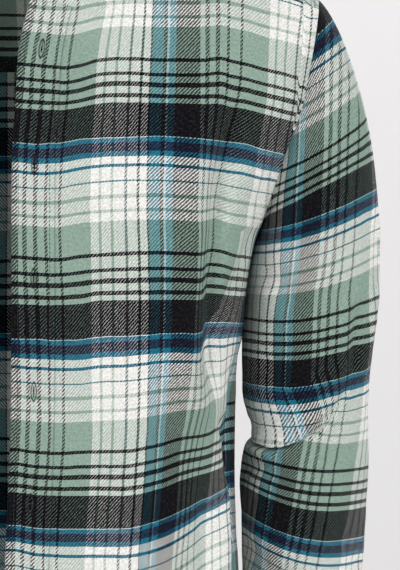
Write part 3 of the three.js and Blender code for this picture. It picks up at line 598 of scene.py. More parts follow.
# %% The flannel itself
def woven(name):
    paint, tree, shader = new_paint(name)
    uv = tree.nodes.new("ShaderNodeUVMap")
    uv.uv_map = "UVMap"
    parts = tree.nodes.new("ShaderNodeSeparateXYZ")
    tree.links.new(uv.outputs[0], parts.inputs[0])
    wander = sum_node(tree, "MULTIPLY", sum_node(tree, "SUBTRACT", noise_node(tree, uv.outputs[0], 95), 0.5), 0.0011)
    across = sum_node(tree, "ADD", parts.outputs[0], wander)
    down = sum_node(tree, "ADD", parts.outputs[1], wander)
    warp_at = sum_node(tree, "FRACT", sum_node(tree, "DIVIDE", across, WARP_REPEAT * CHART_MM * MM))
    weft_at = sum_node(tree, "FRACT", sum_node(tree, "DIVIDE", down, WEFT_REPEAT * CHART_MM * MM))
    warp = stripes(tree, warp_at, WARP)
    weft = stripes(tree, weft_at, WEFT)
    twill = tree.nodes.new("ShaderNodeUVMap")
    twill.uv_map = "Twill"
    lengths = tree.nodes.new("ShaderNodeSeparateXYZ")
    tree.links.new(twill.outputs[0], lengths.inputs[0])
    warp_count = sum_node(tree, "DIVIDE", lengths.outputs[0], WARP_PITCH * MM)
    weft_count = sum_node(tree, "DIVIDE", lengths.outputs[1], WEFT_PITCH * MM)
    shiver = sum_node(tree, "SUBTRACT", noise_node(tree, twill.outputs[0], 520, 2.0, 0.7), 0.5)
    # Beside a light thread a dark one spreads and covers more of it. Two light threads share evenly.
    light = []
    for colour in (warp, weft):
        plain = tree.nodes.new("ShaderNodeRGBToBW")
        tree.links.new(colour, plain.inputs[0])
        light.append(sum_node(tree, "POWER", plain.outputs[0], 0.45))
    dark = []
    for value in light:
        below = sum_node(tree, "SUBTRACT", 0.58, value)
        dark.append(sum_node(tree, "MULTIPLY", below, 5.0, clamp=True))
    lead = sum_node(tree, "MULTIPLY", sum_node(tree, "SUBTRACT", light[0], light[1]), 4.0)
    weft_leads = sum_node(tree, "MULTIPLY", sum_node(tree, "MULTIPLY", lead, 1.0, clamp=True), dark[1])
    warp_leads = sum_node(tree, "MULTIPLY", sum_node(tree, "MULTIPLY", lead, -1.0, clamp=True), dark[0])
    pale_warp = sum_node(tree, "MULTIPLY", sum_node(tree, "SUBTRACT", light[0], 0.6), 3.3, clamp=True)
    gain = sum_node(tree, "SUBTRACT", 0.41, sum_node(tree, "MULTIPLY", pale_warp, 0.035))
    weft_share = sum_node(tree, "ADD", sum_node(tree, "MULTIPLY", weft_leads, gain), 0.51)
    weft_share = sum_node(tree, "SUBTRACT", weft_share, sum_node(tree, "MULTIPLY", warp_leads, 0.12))
    step = sum_node(tree, "ADD", warp_count, sum_node(tree, "FLOOR", weft_count))
    step = sum_node(tree, "ADD", step, sum_node(tree, "MULTIPLY", shiver, 3.0))
    diagonal = sum_node(tree, "FRACT", sum_node(tree, "DIVIDE", step, 4.0))
    from_middle = sum_node(tree, "MULTIPLY", sum_node(tree, "ABSOLUTE", sum_node(tree, "SUBTRACT", diagonal, 0.5)), 2.0)
    edge = sum_node(tree, "DIVIDE", sum_node(tree, "SUBTRACT", weft_share, from_middle), 0.22)
    weft_on_top = sum_node(tree, "ADD", edge, 0.5, clamp=True)
    # The brushed nap of two light threads mingles, so their diagonal is soft.
    softness = sum_node(tree, "SUBTRACT", 0.52, sum_node(tree, "MAXIMUM", dark[0], dark[1]), clamp=True)
    mixed = sum_node(tree, "MULTIPLY", sum_node(tree, "SUBTRACT", dark[0], dark[1], clamp=True), 0.15)
    softness = sum_node(tree, "ADD", softness, mixed)
    shown = blend_node(tree, softness, weft_on_top, 0.5)
    colour = blend_node(tree, shown, warp, weft, "RGBA")
    # Each yarn is a little uneven along its length, and the brushed nap greys it in soft patches.
    stretched = []
    for along, beside in ((60, 1400), (1400, 60)):
        mapping = tree.nodes.new("ShaderNodeMapping")
        mapping.inputs["Scale"].default_value = (beside, along, 1)
        tree.links.new(twill.outputs[0], mapping.inputs["Vector"])
        stretched.append(noise_node(tree, mapping.outputs[0], 1.0, 1.0))
    yarn = blend_node(tree, weft_on_top, stretched[0], stretched[1])
    fluff = noise_node(tree, twill.outputs[0], 480, 3.0, 0.75)
    patches = noise_node(tree, twill.outputs[0], 38, 3.0, 0.6)
    shade = sum_node(tree, "ADD", sum_node(tree, "MULTIPLY", yarn, 0.34), sum_node(tree, "MULTIPLY", fluff, 1.16))
    shade = sum_node(tree, "ADD", shade, sum_node(tree, "MULTIPLY", patches, 0.10))
    bright = sum_node(tree, "ADD", shade, 0.20)
    tint = tree.nodes.new("ShaderNodeCombineColor")
    for slot in range(3):
        tree.links.new(bright, tint.inputs[slot])
    colour = blend_node(tree, 1.0, colour, tint.outputs[0], "RGBA", "MULTIPLY")
    fibres = sum_node(tree, "MULTIPLY", sum_node(tree, "SUBTRACT", fluff, 0.5, clamp=True), 0.16)
    colour = blend_node(tree, fibres, colour, (0.55, 0.56, 0.60, 1), "RGBA")
    tree.links.new(colour, shader.inputs["Base Color"])
    # Threads stand up as small round ridges under the nap.
    ridges = []
    for count in (warp_count, weft_count):
        wave = sum_node(tree, "SINE", sum_node(tree, "MULTIPLY", count, 2 * math.pi))
        ridges.append(sum_node(tree, "MULTIPLY", wave, 0.22))
    height = blend_node(tree, weft_on_top, ridges[0], sum_node(tree, "ADD", ridges[1], 0.45))
    height = sum_node(tree, "ADD", height, sum_node(tree, "MULTIPLY", fluff, 1.3))
    bump = tree.nodes.new("ShaderNodeBump")
    bump.inputs["Strength"].default_value = 0.55
    bump.inputs["Distance"].default_value = 0.00028
    tree.links.new(height, bump.inputs["Height"])
    tree.links.new(bump.outputs[0], shader.inputs["Normal"])
    shader.inputs["Roughness"].default_value = 0.93
    shader.inputs["Specular IOR Level"].default_value = 0.06
    shader.inputs["Sheen Weight"].default_value = 0.045
    shader.inputs["Sheen Roughness"].default_value = 0.55
    shader.inputs["Sheen Tint"].default_value = (0.9, 0.93, 0.95, 1)
    return paint


FLANNEL = woven("flannel")
print("flannel has", len(FLANNEL.node_tree.nodes), "shader nodes")

# %% [markdown]
# ## How the check lies on the body
# Woven cloth keeps its threads, so where it slips into a crease or hangs from the shoulder the lines
# of the check move with it. These tables say where a few warp threads run and how far each weft
# thread sags, in the picture's own units of 0.8 mm, measured on the garment.

# %% The lie of the threads on the left front
def to_picture(points):
    """Where points in millimetres fall in the camera's view, in picture units from its top left."""
    scale = (VIEW_PLANE - VIEW_POINT.y) / (points[..., 1] * MM - VIEW_POINT.y) / 0.8
    across = 200 + (points[..., 0] - VIEW_POINT.x / MM) * scale
    down = 285 - (points[..., 2] - VIEW_POINT.z / MM) * scale
    return across, down


WARP_MARKS = np.array([19.5, 60.5, 89.5, 150, 194, 208, 228, 264, 324.5, 346])
WARP_LIE = table("down m0 m1 m2 m3 m4 m5 m6 m7 m8 m9", [
    (6, 37, 78, 106, 154, 200, 214.5, 235, 270, 322, 341),
    (60, 26, 69, 97, 152, 200, 214.5, 234, 268, 313, 330),
    (100, 23, 67, 95, 150, 200, 213.5, 232, 266, 311, 328),
    (140, 19, 63, 92, 149, 199.5, 210, 226, 259, 304, 320),
    (200, 17, 59.5, 90, 148, 198, 206, 214, 250, 295, 308),
    (250, 17.5, 60, 90.5, 149, 196.5, 202.5, 210.5, 242, 283, 294),
    (300, 18.5, 62.5, 91, 150, 193, 199, 205, 224, 266, 276),
    (335, 19.3, 63, 91.2, 149.6, 191.5, 198, 204.5, 209.8, 240, 247),
    (350, 20, 63.5, 91.3, 149.5, 190.5, 197.5, 204.5, 209.6, 237, 244),
    (400, 21, 63.5, 91.5, 149, 184.5, 196, 207.5, 215, 229, 235),
    (440, 20, 63.5, 91.7, 147.5, 180, 189, 199.5, 213, 228, 234),
    (500, 17, 59, 88, 144, 176.5, 184, 193, 207, 228, 235),
    (560, 15, 56.5, 84, 140, 174, 182, 192, 207, 230, 238)])
WEFT_MARKS = ([58, 103, 137, 165, 252.4, 301, 336.3, 366, 420, 451, 497.3, 529.5, 548, 558],
              [-49.5, 0, 31, 60, 147, 196.5, 227.5, 256.5, 310.5, 343.5, 393, 424, 444, 453])
SAG_AT = np.array([17, 36, 60, 80, 100, 130, 160, 180, 200, 208, 213, 222, 232, 245, 260, 280, 310], float)
WEFT_SAG = np.array([
    (6, 3.5, 6, 7.5, 6, 1.5, 0, 1, 1, 1, 0.3, 0, 0, 2.5, 5, 9, 14, 23),
    (80, 5, 6.5, 7.5, 6, 1, 0, 1, 1, 1, 0.4, -0.2, -0.5, 2.5, 5, 9, 14, 22),
    (137, 5.4, 7, 5.4, 2, 1, 0, -1.4, -0.4, 1, 1.8, 2.2, 3.2, 4.6, 6.5, 11, 16, 24),
    (165, 6.6, 8.6, 7.4, 3.6, 1.4, 0, -0.4, 1, 2.6, 3.8, 4.3, 5.5, 7.2, 9, 13, 16, 20),
    (252, 4, 5.6, 6.6, 3.6, 2, 0, -0.4, 0.3, 0.6, -2, -2, -1.6, 2, 4.6, 5.5, 6, 6),
    (301, 4, 4.5, 4.8, 3.7, 0.3, 0, -0.4, -0.6, -1, -5, -6.2, -6.3, -4.5, -4.3, -4.3, -4.3, -4.3),
    (336, 2.9, 3.5, 4.5, 3.7, 1.2, 0, -2, -3, -3.6, -11, -12.5, -13.3, -13, -12.6, -12.6, -12.6, -12.6),
    (366, 1.5, 3, 4, 4, 1.5, 0, -3.5, -4.3, -5, -14, -18, -19.5, -22, -24, -25, -25, -25),
    (451, -1.3, 1.5, 2.7, 1.5, 1, 0, -6, -12.5, -15, -17, -20, -26, -47, -52, -54, -54, -54),
    (497, -3.3, -1, 0.2, 0.2, 0, 0, -7, -15, -21, -23.5, -25.5, -31, -45.6, -52, -54, -54, -54),
    (530, -2.8, 0, 1, 1, 1, 0, -8, -17, -27, -31, -35, -43, -58, -66, -68, -68, -68),
    (558, -6, -2, 0, 0, 0, 0, -7, -17, -31, -37, -41, -48, -58, -66, -68, -68, -68)])


def between(marks, values, at):
    """Reads rising marks, one set for each point, at each point: marks and values are (marks, points)."""
    out = np.empty(at.shape)
    last = len(marks) - 1
    k = np.clip((marks[:, ...] <= at).sum(axis=0) - 1, 0, last - 1)
    low = np.take_along_axis(marks, k[None], 0)[0]
    high = np.take_along_axis(marks, k[None] + 1, 0)[0]
    start = np.take_along_axis(values, k[None], 0)[0]
    end = np.take_along_axis(values, k[None] + 1, 0)[0]
    out = start + (end - start) * (at - low) / np.maximum(high - low, 1e-6)
    return out


def front_weave(flat, q):
    """Cloth coordinates, in metres, of the left front's undisturbed points (rows by columns)."""
    across, down = to_picture(flat)
    marks = np.stack([read(WARP_LIE, "down", "m%d" % k, down) for k in range(10)])
    values = np.broadcast_to(WARP_MARKS[:, None, None], marks.shape)
    warp = between(marks, values, across)
    beyond = (across > marks[-1] - 0.5) | (flat[..., 2] < -250) & (flat[..., 0] > 196)
    for row in range(len(q)):
        if beyond[row].any():
            first = max(int(np.argmax(beyond[row])) - 1, 0)
            warp[row, first:] = warp[row, first] + (q[row, first:] - q[row, first]) / 0.8
    level = down.copy()
    rows = WEFT_SAG[:, 0]
    columns = np.stack([smooth_through(SAG_AT, WEFT_SAG[k, 1:], across) for k in range(len(rows))])
    for _ in range(10):
        k = np.clip(np.searchsorted(rows, level) - 1, 0, len(rows) - 2)
        low = np.take_along_axis(columns, k[None], 0)[0]
        high = np.take_along_axis(columns, k[None] + 1, 0)[0]
        t = np.clip((level - rows[k]) / (rows[k + 1] - rows[k]), 0, 1)
        level = 0.5 * level + 0.5 * (down - lerp(low, high, t))
    ys, vs = (np.array(m, float) for m in WEFT_MARKS)
    weft = np.interp(level, ys, vs)
    weft = np.where(level < ys[0], vs[0] + (level - ys[0]), weft)
    weft = np.where(level > ys[-1], vs[-1] + (level - ys[-1]), weft)
    sag = down - level
    steep = np.diff(sag, axis=1) / np.maximum(np.abs(np.diff(across, axis=1)), 0.3)
    gentle = np.clip(steep, -0.5, 0.5) * np.diff(across, axis=1)
    gentle = np.concatenate([sag[:, :1], gentle], axis=1).cumsum(axis=1)
    return np.stack([(warp - 62) * CHART_MM * MM, weft * CHART_MM * MM,
                     (warp - 62) * CHART_MM * MM, (down - gentle) * CHART_MM * MM], axis=-1)


# %% [markdown]
# ## The fronts
# Each front is one panel from the open edge to the side seam, up into the armhole and the shoulder.
# Its folds are placed one by one: a long crease that runs down from the armpit, drags towards the
# underarm, and soft waves beside the buttonhole band.

# %% The plan of a front
def edge_q(z):
    return run_to(read(FRONT_EDGE, "z", "x", z), z, "front")


def hem_z(middle, share):
    return lerp(HEM_SIDE, middle, 0.5 + 0.5 * np.cos(math.pi * np.abs(share) ** 1.6))


SIDE_ROWS, ARM_ROWS = 16, 10


def front_plan(rows, across_of):
    """q and z of a front's points: rows run from the hem (0) to the shoulder (26)."""
    low_part = rows <= SIDE_ROWS
    side_z = lerp(HEM_SIDE, UNDERARM, np.clip(rows / SIDE_ROWS, 0, 1))
    turn = lerp(180, YOKE_FRONT_TURN, np.clip((rows - SIDE_ROWS) / ARM_ROWS, 0, 1))
    arm = armhole(turn)
    edge_z = np.where(low_part, side_z, arm[:, 2])
    right_q = np.where(low_part, side_run(side_z, "front"), run_to(arm[:, 0], arm[:, 2], "front"))
    s = (rows / (SIDE_ROWS + ARM_ROWS))[:, None]
    top = armhole(np.array([YOKE_FRONT_TURN]))[0]
    top_drop = ridge(top[0]) - top[2]
    corner_z = float(ridge(NECK_CORNER)) - SHOULDER_DROP
    left_z = lerp(HEM_FRONT, corner_z, s)
    left_q = edge_q(left_z)
    band_share = BAND / (right_q[:, None] - left_q)
    f = across_of(band_share)
    x = lerp(NECK_CORNER, top[0], f)
    seam_z = ridge(x) - lerp(SHOULDER_DROP, top_drop, f)
    low_q = lerp(float(edge_q(np.array(HEM_FRONT))), float(side_run(HEM_SIDE, "front")), f)
    high_q = run_to(x, seam_z, "front")
    first_z, last_z = HEM_SIDE, top[2]
    first_q, last_q = right_q[0], float(run_to(top[0], top[2], "front"))
    corner_q = float(edge_q(np.array(corner_z)))

    def blended(low, high, start, end, c00, c01, c10, c11):
        corners = lerp(lerp(c00, c01, f), lerp(c10, c11, f), s)
        return lerp(low, high, s) + lerp(start, end, f) - corners
    z = blended(hem_z(HEM_FRONT, f), seam_z, left_z, edge_z[:, None], HEM_FRONT, first_z, corner_z, last_z)
    q = blended(low_q, high_q, left_q, right_q[:, None],
                float(edge_q(np.array(HEM_FRONT))), float(side_run(HEM_SIDE, "front")), corner_q, last_q)
    return q, z, f


LEFT_FOLDS = [
    ([(64, -70), (62, -190)], 15, 4.0, 0.0), ([(104, -80), (100, -330)], 26, -3.2, 0.0),
    ([(205, -120), (196, -200), (190, -290), (191, -350), (198, -400)], 9, 9.0, 0.25),
    ([(206, -395), (219, -420), (224, -470)], 9, 8.0, -0.3),
    ([(176, -215), (168, -330), (160, -440)], 18, -4.5, 0.0),
    ([(240, -345), (232, -430), (228, -520)], 12, 6.0, 0.0),
    ([(212, -425), (205, -560), (203, -650)], 13, -5.5, 0.2),
    ([(180, -440), (184, -520), (181, -600)], 8, 3.0, 0.0),
    ([(150, -470), (158, -720)], 24, 5.5, 0.0), ([(96, -520), (92, -735)], 28, -4.5, 0.0),
    ([(262, -236), (222, -290), (190, -340)], 11, 4.5, 0.2),
    ([(290, -150), (250, -215), (206, -250)], 16, 2.5, 0.0),
    ([(130, -150), (140, -260)], 20, 1.6, 0.0), ([(45, -300), (52, -420)], 14, 1.6, 0.0)]
RIGHT_FOLDS = [
    ([(70, -80), (66, -215)], 16, 4.0, 0.0), ([(190, -200), (186, -300), (182, -400)], 12, 9.0, 0.2),
    ([(158, -260), (150, -480)], 22, -5.0, 0.0), ([(228, -320), (214, -450)], 14, 7.0, 0.0),
    ([(120, -450), (128, -730)], 26, 7.0, 0.0), ([(200, -470), (206, -690)], 22, -5.0, 0.0),
    ([(262, -240), (220, -300), (180, -330)], 12, 4.0, 0.0), ([(60, -560), (64, -735)], 22, -4.0, 0.0)]


def pressed(folds, q, z):
    deep = np.zeros(q.shape)
    for path, wide, depth, lean in folds:
        deep = deep + fold(q, z, path, wide, depth, lean)
    # Small unevenness of worn cloth: long soft drags that mostly run down the shirt.
    return deep + 0.9 * uneven(q, z * 0.45, 26) + 0.35 * uneven(q + 31, z * 0.8, 9)


def front_surface(rows, across_of, folds, lift=0.0):
    q, z, f = front_plan(rows, across_of)
    flat = on_body(q, z, "front")
    normal = grid_normals(flat)
    at_side = np.clip((1 - f) * 18 / 1.6, 0, 1)
    at_hem = np.clip(rows / 0.5, 0.55, 1)[:, None]
    moved = flat - normal * (pressed(folds, q, z) * at_side * at_hem)[..., None]
    if lift:
        moved = moved + grid_normals(moved) * lift
    return moved, flat, q, z, f


def rows_of(*parts):
    """Row numbers from (start, end, cells) stretches."""
    return np.concatenate([np.linspace(a, b, n, endpoint=False) for a, b, n in parts] + [[parts[-1][1]]])


BAND_CELLS = 16


def front_across(band):
    inside = np.linspace(0, 1, BAND_CELLS, endpoint=False) * band
    shares = np.concatenate([np.linspace(0, 0.90, 94, endpoint=False), np.linspace(0.90, 1, 34)])
    outside = band + (1 - band) * shares
    return np.concatenate([inside, outside], axis=1)


FRONT_ROWS = rows_of((0, 16, 200), (16, 26, 80))
left_grid, left_flat, left_q, left_z, _ = front_surface(FRONT_ROWS, front_across, LEFT_FOLDS)
left_weave = front_weave(left_flat, left_q)


def from_armhole(grid):
    """The distance of each point of a front from its armhole edge, along its row."""
    step = np.linalg.norm(np.diff(grid, axis=1), axis=-1)
    run = np.concatenate([np.zeros((len(grid), 1)), np.cumsum(step, axis=1)], axis=1)
    return run[:, -1:] - run


def armhole_strip(grid):
    """The turned seam beside the armhole: a flat strip with a stitched groove, lost in the armpit."""
    d = from_armhole(grid)
    z = grid[:, -1:, 2]
    beside = np.clip((z + 172) / 8, 0, 1)
    wide = np.interp(z, (-168, -150, -138, -124, -60), (3.5, 6.0, 11.0, 14.5, 14.5))
    strip = beside / (1 + np.exp((d - wide) / 0.35))
    groove = beside * np.exp(-((d - wide) / 0.9) ** 2)
    return strip, groove, d


left_strip_share, left_groove, from_edge = armhole_strip(left_grid)
left_grid = left_grid + grid_normals(left_grid) * (0.7 * left_strip_share - 0.9 * left_groove)[..., None]
left_weave[..., 1] -= 0.0072 * left_strip_share
strip_warp = (313.3 - 62) * CHART_MM * MM + (7.2 - from_edge) * MM
left_weave[..., 0] = lerp(left_weave[..., 0], strip_warp, left_strip_share)
print("left front:", left_grid.shape, "points")


# %% Seam allowances and hems
def tucked(grid, weave, side, under=1.9, by=5.0):
    """Carries a panel on a little way behind its neighbour, as the allowance inside a seam does."""
    columns = side in ("start", "end")
    g = grid if columns else np.swapaxes(grid, 0, 1)
    w = weave if columns else np.swapaxes(weave, 0, 1)
    normal = grid_normals(grid)
    n = normal if columns else np.swapaxes(normal, 0, 1)
    if side in ("end", "top"):
        away = unit(g[:, -1] - g[:, -3])
        step = (w[:, -1] - w[:, -2]) / np.maximum(np.linalg.norm(g[:, -1] - g[:, -2], axis=-1, keepdims=True), 0.3)
        new = [g[:, -1] + away * by * t - n[:, -1] * under * min(1, 1.6 * t) for t in (0.2, 0.5, 1.0)]
        new_w = [w[:, -1] + step * by * t for t in (0.2, 0.5, 1.0)]
        g = np.concatenate([g, np.stack(new, axis=1)], axis=1)
        w = np.concatenate([w, np.stack(new_w, axis=1)], axis=1)
    else:
        away = unit(g[:, 0] - g[:, 2])
        step = (w[:, 0] - w[:, 1]) / np.maximum(np.linalg.norm(g[:, 0] - g[:, 1], axis=-1, keepdims=True), 0.3)
        new = [g[:, 0] + away * by * t - n[:, 0] * under * min(1, 1.6 * t) for t in (1.0, 0.5, 0.2)]
        new_w = [w[:, 0] + step * by * t for t in (1.0, 0.5, 0.2)]
        g = np.concatenate([np.stack(new, axis=1), g], axis=1)
        w = np.concatenate([np.stack(new_w, axis=1), w], axis=1)
    return (g, w) if columns else (np.swapaxes(g, 0, 1), np.swapaxes(w, 0, 1))


def hem_thickness(rows_from_hem_mm, plain=CLOTH):
    """A turned-up hem is three layers for its first few millimetres, then a stitched groove."""
    d = rows_from_hem_mm
    return plain + 1.3 / (1 + np.exp((d - 8.5) / 0.5)) - 0.5 * np.exp(-((d - 7.3) / 0.8) ** 2)


def along_rows(grid):
    """The distance of each row from the first, down the middle of the panel."""
    step = np.linalg.norm(np.diff(grid, axis=0), axis=-1)
    return np.concatenate([np.zeros((1, grid.shape[1])), np.cumsum(step, axis=0)])


def row_near(grid, column, z):
    return int(np.argmin(np.abs(grid[:, column, 2] - z)))


def buttonhole_cuts(grid, column, wide, tall=12.5):
    cuts = []
    for z in BUTTON_HEIGHTS:
        low, high = row_near(grid, column, z - tall / 2), row_near(grid, column, z + tall / 2)
        cuts.append((column, low, high, wide))
    return cuts


left_front = cloth("left_front_cloth", left_grid, left_weave, hem_thickness(along_rows(left_grid)), FLANNEL,
                   cuts=buttonhole_cuts(left_grid, BAND_CELLS // 2, 3.4))
# The side that the camera doesn't see is made with every second row, to keep the mesh small.
right_grid, right_flat, right_q, right_z, _ = front_surface(FRONT_ROWS[::2], front_across, RIGHT_FOLDS)
MIRROR = np.array([-1.0, 1.0, 1.0])
right_grid = (right_grid * MIRROR)[:, ::-1]
right_weave = np.stack([-right_q[:, ::-1] * MM - 0.01, -right_z[:, ::-1] * MM + 0.0035], axis=-1)
right_front = cloth("right_front_cloth", right_grid, right_weave, hem_thickness(along_rows(right_grid)), FLANNEL)


# %% [markdown]
# ## The buttonhole band and the button band
# A strip is folded over each front edge and stitched down. Its fold is the shirt's very edge, so
# the strip turns round it and ends a little way inside.

# %% Bands
BAND_ROWS = rows_of((0, 16, 300), (16, 24, 136))
CURL = 6


def band_across(band):
    return np.linspace(0, 1, 25) * band


def band_grid(folds, rows):
    over, flat, q, z, f = front_surface(rows, band_across, folds, lift=CLOTH / 2 + 0.3 + 0.7)
    edge, normal = over[:, 0], grid_normals(over)[:, 0]
    outward = unit(over[:, 0] - over[:, 2])
    reach = 2 * (CLOTH / 2 + 0.3 + 0.7)
    turns = np.linspace(math.pi, 0, CURL, endpoint=False)
    middle = edge - normal * reach / 2
    curl = [middle + outward * math.sin(a) * reach / 2 * 0.8 + normal * math.cos(a) * reach / 2 for a in turns]
    inside = [curl[0] - outward * d for d in (11.0, 8.0, 5.0, 2.0)]
    return np.concatenate([np.stack(inside + curl, axis=1), over], axis=1), flat, q


def band_weave(grid, weave):
    extra = grid.shape[1] - weave.shape[1]
    lead = np.linalg.norm(np.diff(grid[:, :extra + 1], axis=1), axis=-1)
    back = np.cumsum(lead[:, ::-1], axis=1)[:, ::-1] * MM
    added = np.repeat(weave[:, :1], extra, axis=1)
    added[..., 0::2] -= back[..., None]
    return np.concatenate([added, weave], axis=1)


band, band_flat, band_q = band_grid(LEFT_FOLDS, BAND_ROWS)
HOLE_COLUMN = 4 + CURL + 12
left_weave_band = band_weave(band, front_weave(band_flat, band_q))


def stitched_groove(grid, lines, thick, columns):
    """Thins the cloth a little along stitch lines, given in millimetres from its fold."""
    step = np.linalg.norm(np.diff(grid, axis=1), axis=-1)
    run = np.concatenate([np.zeros((len(grid), 1)), np.cumsum(step, axis=1)], axis=1)
    run = run - run[:, columns:columns + 1]
    groove = sum(np.exp(-((run - at) / 0.8) ** 2) for at in lines)
    return thick - 0.45 * groove


left_placket = cloth("left_band_cloth", band, left_weave_band, stitched_groove(band, (3.5, 29.5), 1.4, 4 + CURL),
                     FLANNEL, cuts=buttonhole_cuts(band, HOLE_COLUMN, 2.6, 11.5))
other_band, _, other_q = band_grid(RIGHT_FOLDS, BAND_ROWS[::2])
other_z = other_band[:, -25:, 2]
other_weave = np.stack([other_q * MM, -other_z * MM + 0.0035] * 2, axis=-1)
other_weave = band_weave(other_band, other_weave) * np.array([-1, 1, -1, 1]) - np.array([0.01, 0, 0.01, 0])
right_band = (other_band * MIRROR)[:, ::-1]
right_placket = cloth("right_band_cloth", right_band, other_weave[:, ::-1], 1.4, FLANNEL)

# %% [markdown]
# ## The sleeve
# A tube that leaves the armhole, hangs beside the body and bends a little at the elbow. At the
# elbow the upper cloth hangs over the lower in a lip, and some cloth is hidden in the crease. The
# check turns slowly round the arm and tilts at the top, where the sleeve was cut to stand away.

# %% Rings of the sleeve
def sleeve_ring(run, degrees):
    row = {name: read(SLEEVE, "run", name, run) for name in SLEEVE if name != "run"}
    turn = np.radians(degrees)
    zero = np.zeros_like(row["half"] * turn)
    middle = np.stack([(row["in_x"] + row["out_x"]) / 2 + zero, row["mid_y"] + zero,
                       (row["in_z"] + row["out_z"]) / 2 + zero], axis=-1)
    out = np.stack([(row["out_x"] - row["in_x"]) / 2 + zero, zero, (row["out_z"] - row["in_z"]) / 2 + zero], axis=-1)
    front = np.stack([zero, -row["half"] + zero, -row["dip"] + zero], axis=-1)
    return middle + out * np.cos(turn)[..., None] + front * np.sin(turn)[..., None]


def sleeve_start(turn):
    top = 0.5 + 0.5 * np.cos(turn)
    return unit(np.stack([lerp(0.85, 0.7, top), -0.4 * np.sin(turn), lerp(-0.5, -0.7, top)], axis=-1))


def sleeve_flat(rows, degrees):
    """The sleeve's undisturbed surface: rows -1 to 0 are its cap, 0 to 13 its rings."""
    run, deg = np.meshgrid(rows, degrees, indexing="ij")
    ring = sleeve_ring(np.maximum(run, 0), deg)
    round_360 = np.mod(degrees, 360)
    hole = armhole(np.where(round_360 > 180, round_360 - 360, round_360))
    turn = np.radians(degrees)
    leave = sleeve_start(turn)
    off = lerp(1.95, 0.7, 0.5 + 0.5 * np.cos(turn))
    start = hole + leave * off[:, None]
    end = sleeve_ring(np.zeros_like(degrees), degrees)
    reach = np.linalg.norm(start - end, axis=-1)
    onward = unit(sleeve_ring(np.full_like(degrees, 0.5), degrees) - end) * reach[:, None]
    s = np.clip(run + 1, 0, 1)[..., None]
    s2, s3 = s * s, s * s * s
    cap = (start * (2 * s3 - 3 * s2 + 1) + leave * (s3 - 2 * s2 + s) * reach[:, None] * 0.6
           + end * (3 * s2 - 2 * s3) + onward * (s3 - s2))
    return np.where((run < 0)[..., None], cap, ring), run, deg


SEAM_TURN = 200.0
DEGREE_MM, RING_MM = 1.05, 30.0
LEFT_SLEEVE_FOLDS = [
    ([(47, 2.4), (49, 3.3), (44, 4.4)], 7, 3.6, 0.3), ([(60, 2.3), (63, 3.4), (58, 4.5)], 9, -2.2, 0.0),
    ([(20, 2.2), (30, 3.6), (40, 4.8)], 12, -3.0, 0.0), ([(120, 6.95), (150, 6.85), (175, 6.8)], 6, -3.2, 0.3),
    ([(100, 7.4), (130, 7.35), (170, 7.5)], 8, 3.0, 0.0), ([(70, 6.6), (110, 7.2)], 12, -1.8, 0.0),
    ([(150, 0.6), (120, 1.6), (100, 2.4)], 12, 4.0, 0.0), ([(176, 9.4), (130, 9.9), (96, 10.4)], 12, 5.0, 0.2),
    ([(60, 8.6), (20, 9.8)], 13, 3.5, 0.0), ([(216, 5.8), (262, 6.4)], 12, 8.0, 0.2),
    ([(228, 6.16), (190, 6.2), (162, 6.22)], 11, 7.6, 0.2), ([(202, 7.0), (268, 7.6)], 12, -4.5, 0.0),
    ([(186, 6.46), (168, 6.48), (150, 6.5)], 7, 4.0, 0.0), ([(214, 0.8), (256, 2.6)], 13, 5.0, 0.0),
    ([(300, 8.4), (250, 10.2)], 14, 4.5, 0.0), ([(110, -0.6), (108, 0.8), (104, 1.8)], 9, 1.8, 0.0),
    ([(76, 3.2), (86, 4.6), (84, 5.6)], 12, 2.0, 0.0), ([(128, 3.4), (122, 4.8)], 11, 2.0, 0.0),
    ([(330, 11.2), (300, 12.6)], 9, 4.0, 0.0), ([(90, 11.4), (60, 12.7)], 9, 3.0, 0.0)]
ELBOW_CREASE = [(228, 6.3), (206, 6.32), (186, 6.32), (162, 6.31), (141, 6.31), (128, 6.33), (117, 6.21), (108, 6.1),
                (100, 6.02), (89, 5.85), (79, 5.64), (70, 5.44), (63, 5.2), (54, 4.92), (46, 4.72), (38, 4.55)]


def sleeve_pressed(folds, run, deg):
    deep = np.zeros(run.shape)
    a, b = deg * DEGREE_MM, run * RING_MM
    for path, wide, depth, lean in folds:
        for turn in (-360, 0, 360):
            at = [((d + turn) * DEGREE_MM, r * RING_MM) for d, r in path]
            deep = deep + fold(a, b, at, wide, depth, lean)
    wrap = np.cos(np.radians(deg)) * 60
    other = np.sin(np.radians(deg)) * 60
    return deep + 0.8 * uneven(wrap + b * 0.3, other + b * 0.5, 24) + 0.3 * uneven(wrap * 1.3, other + b, 9)


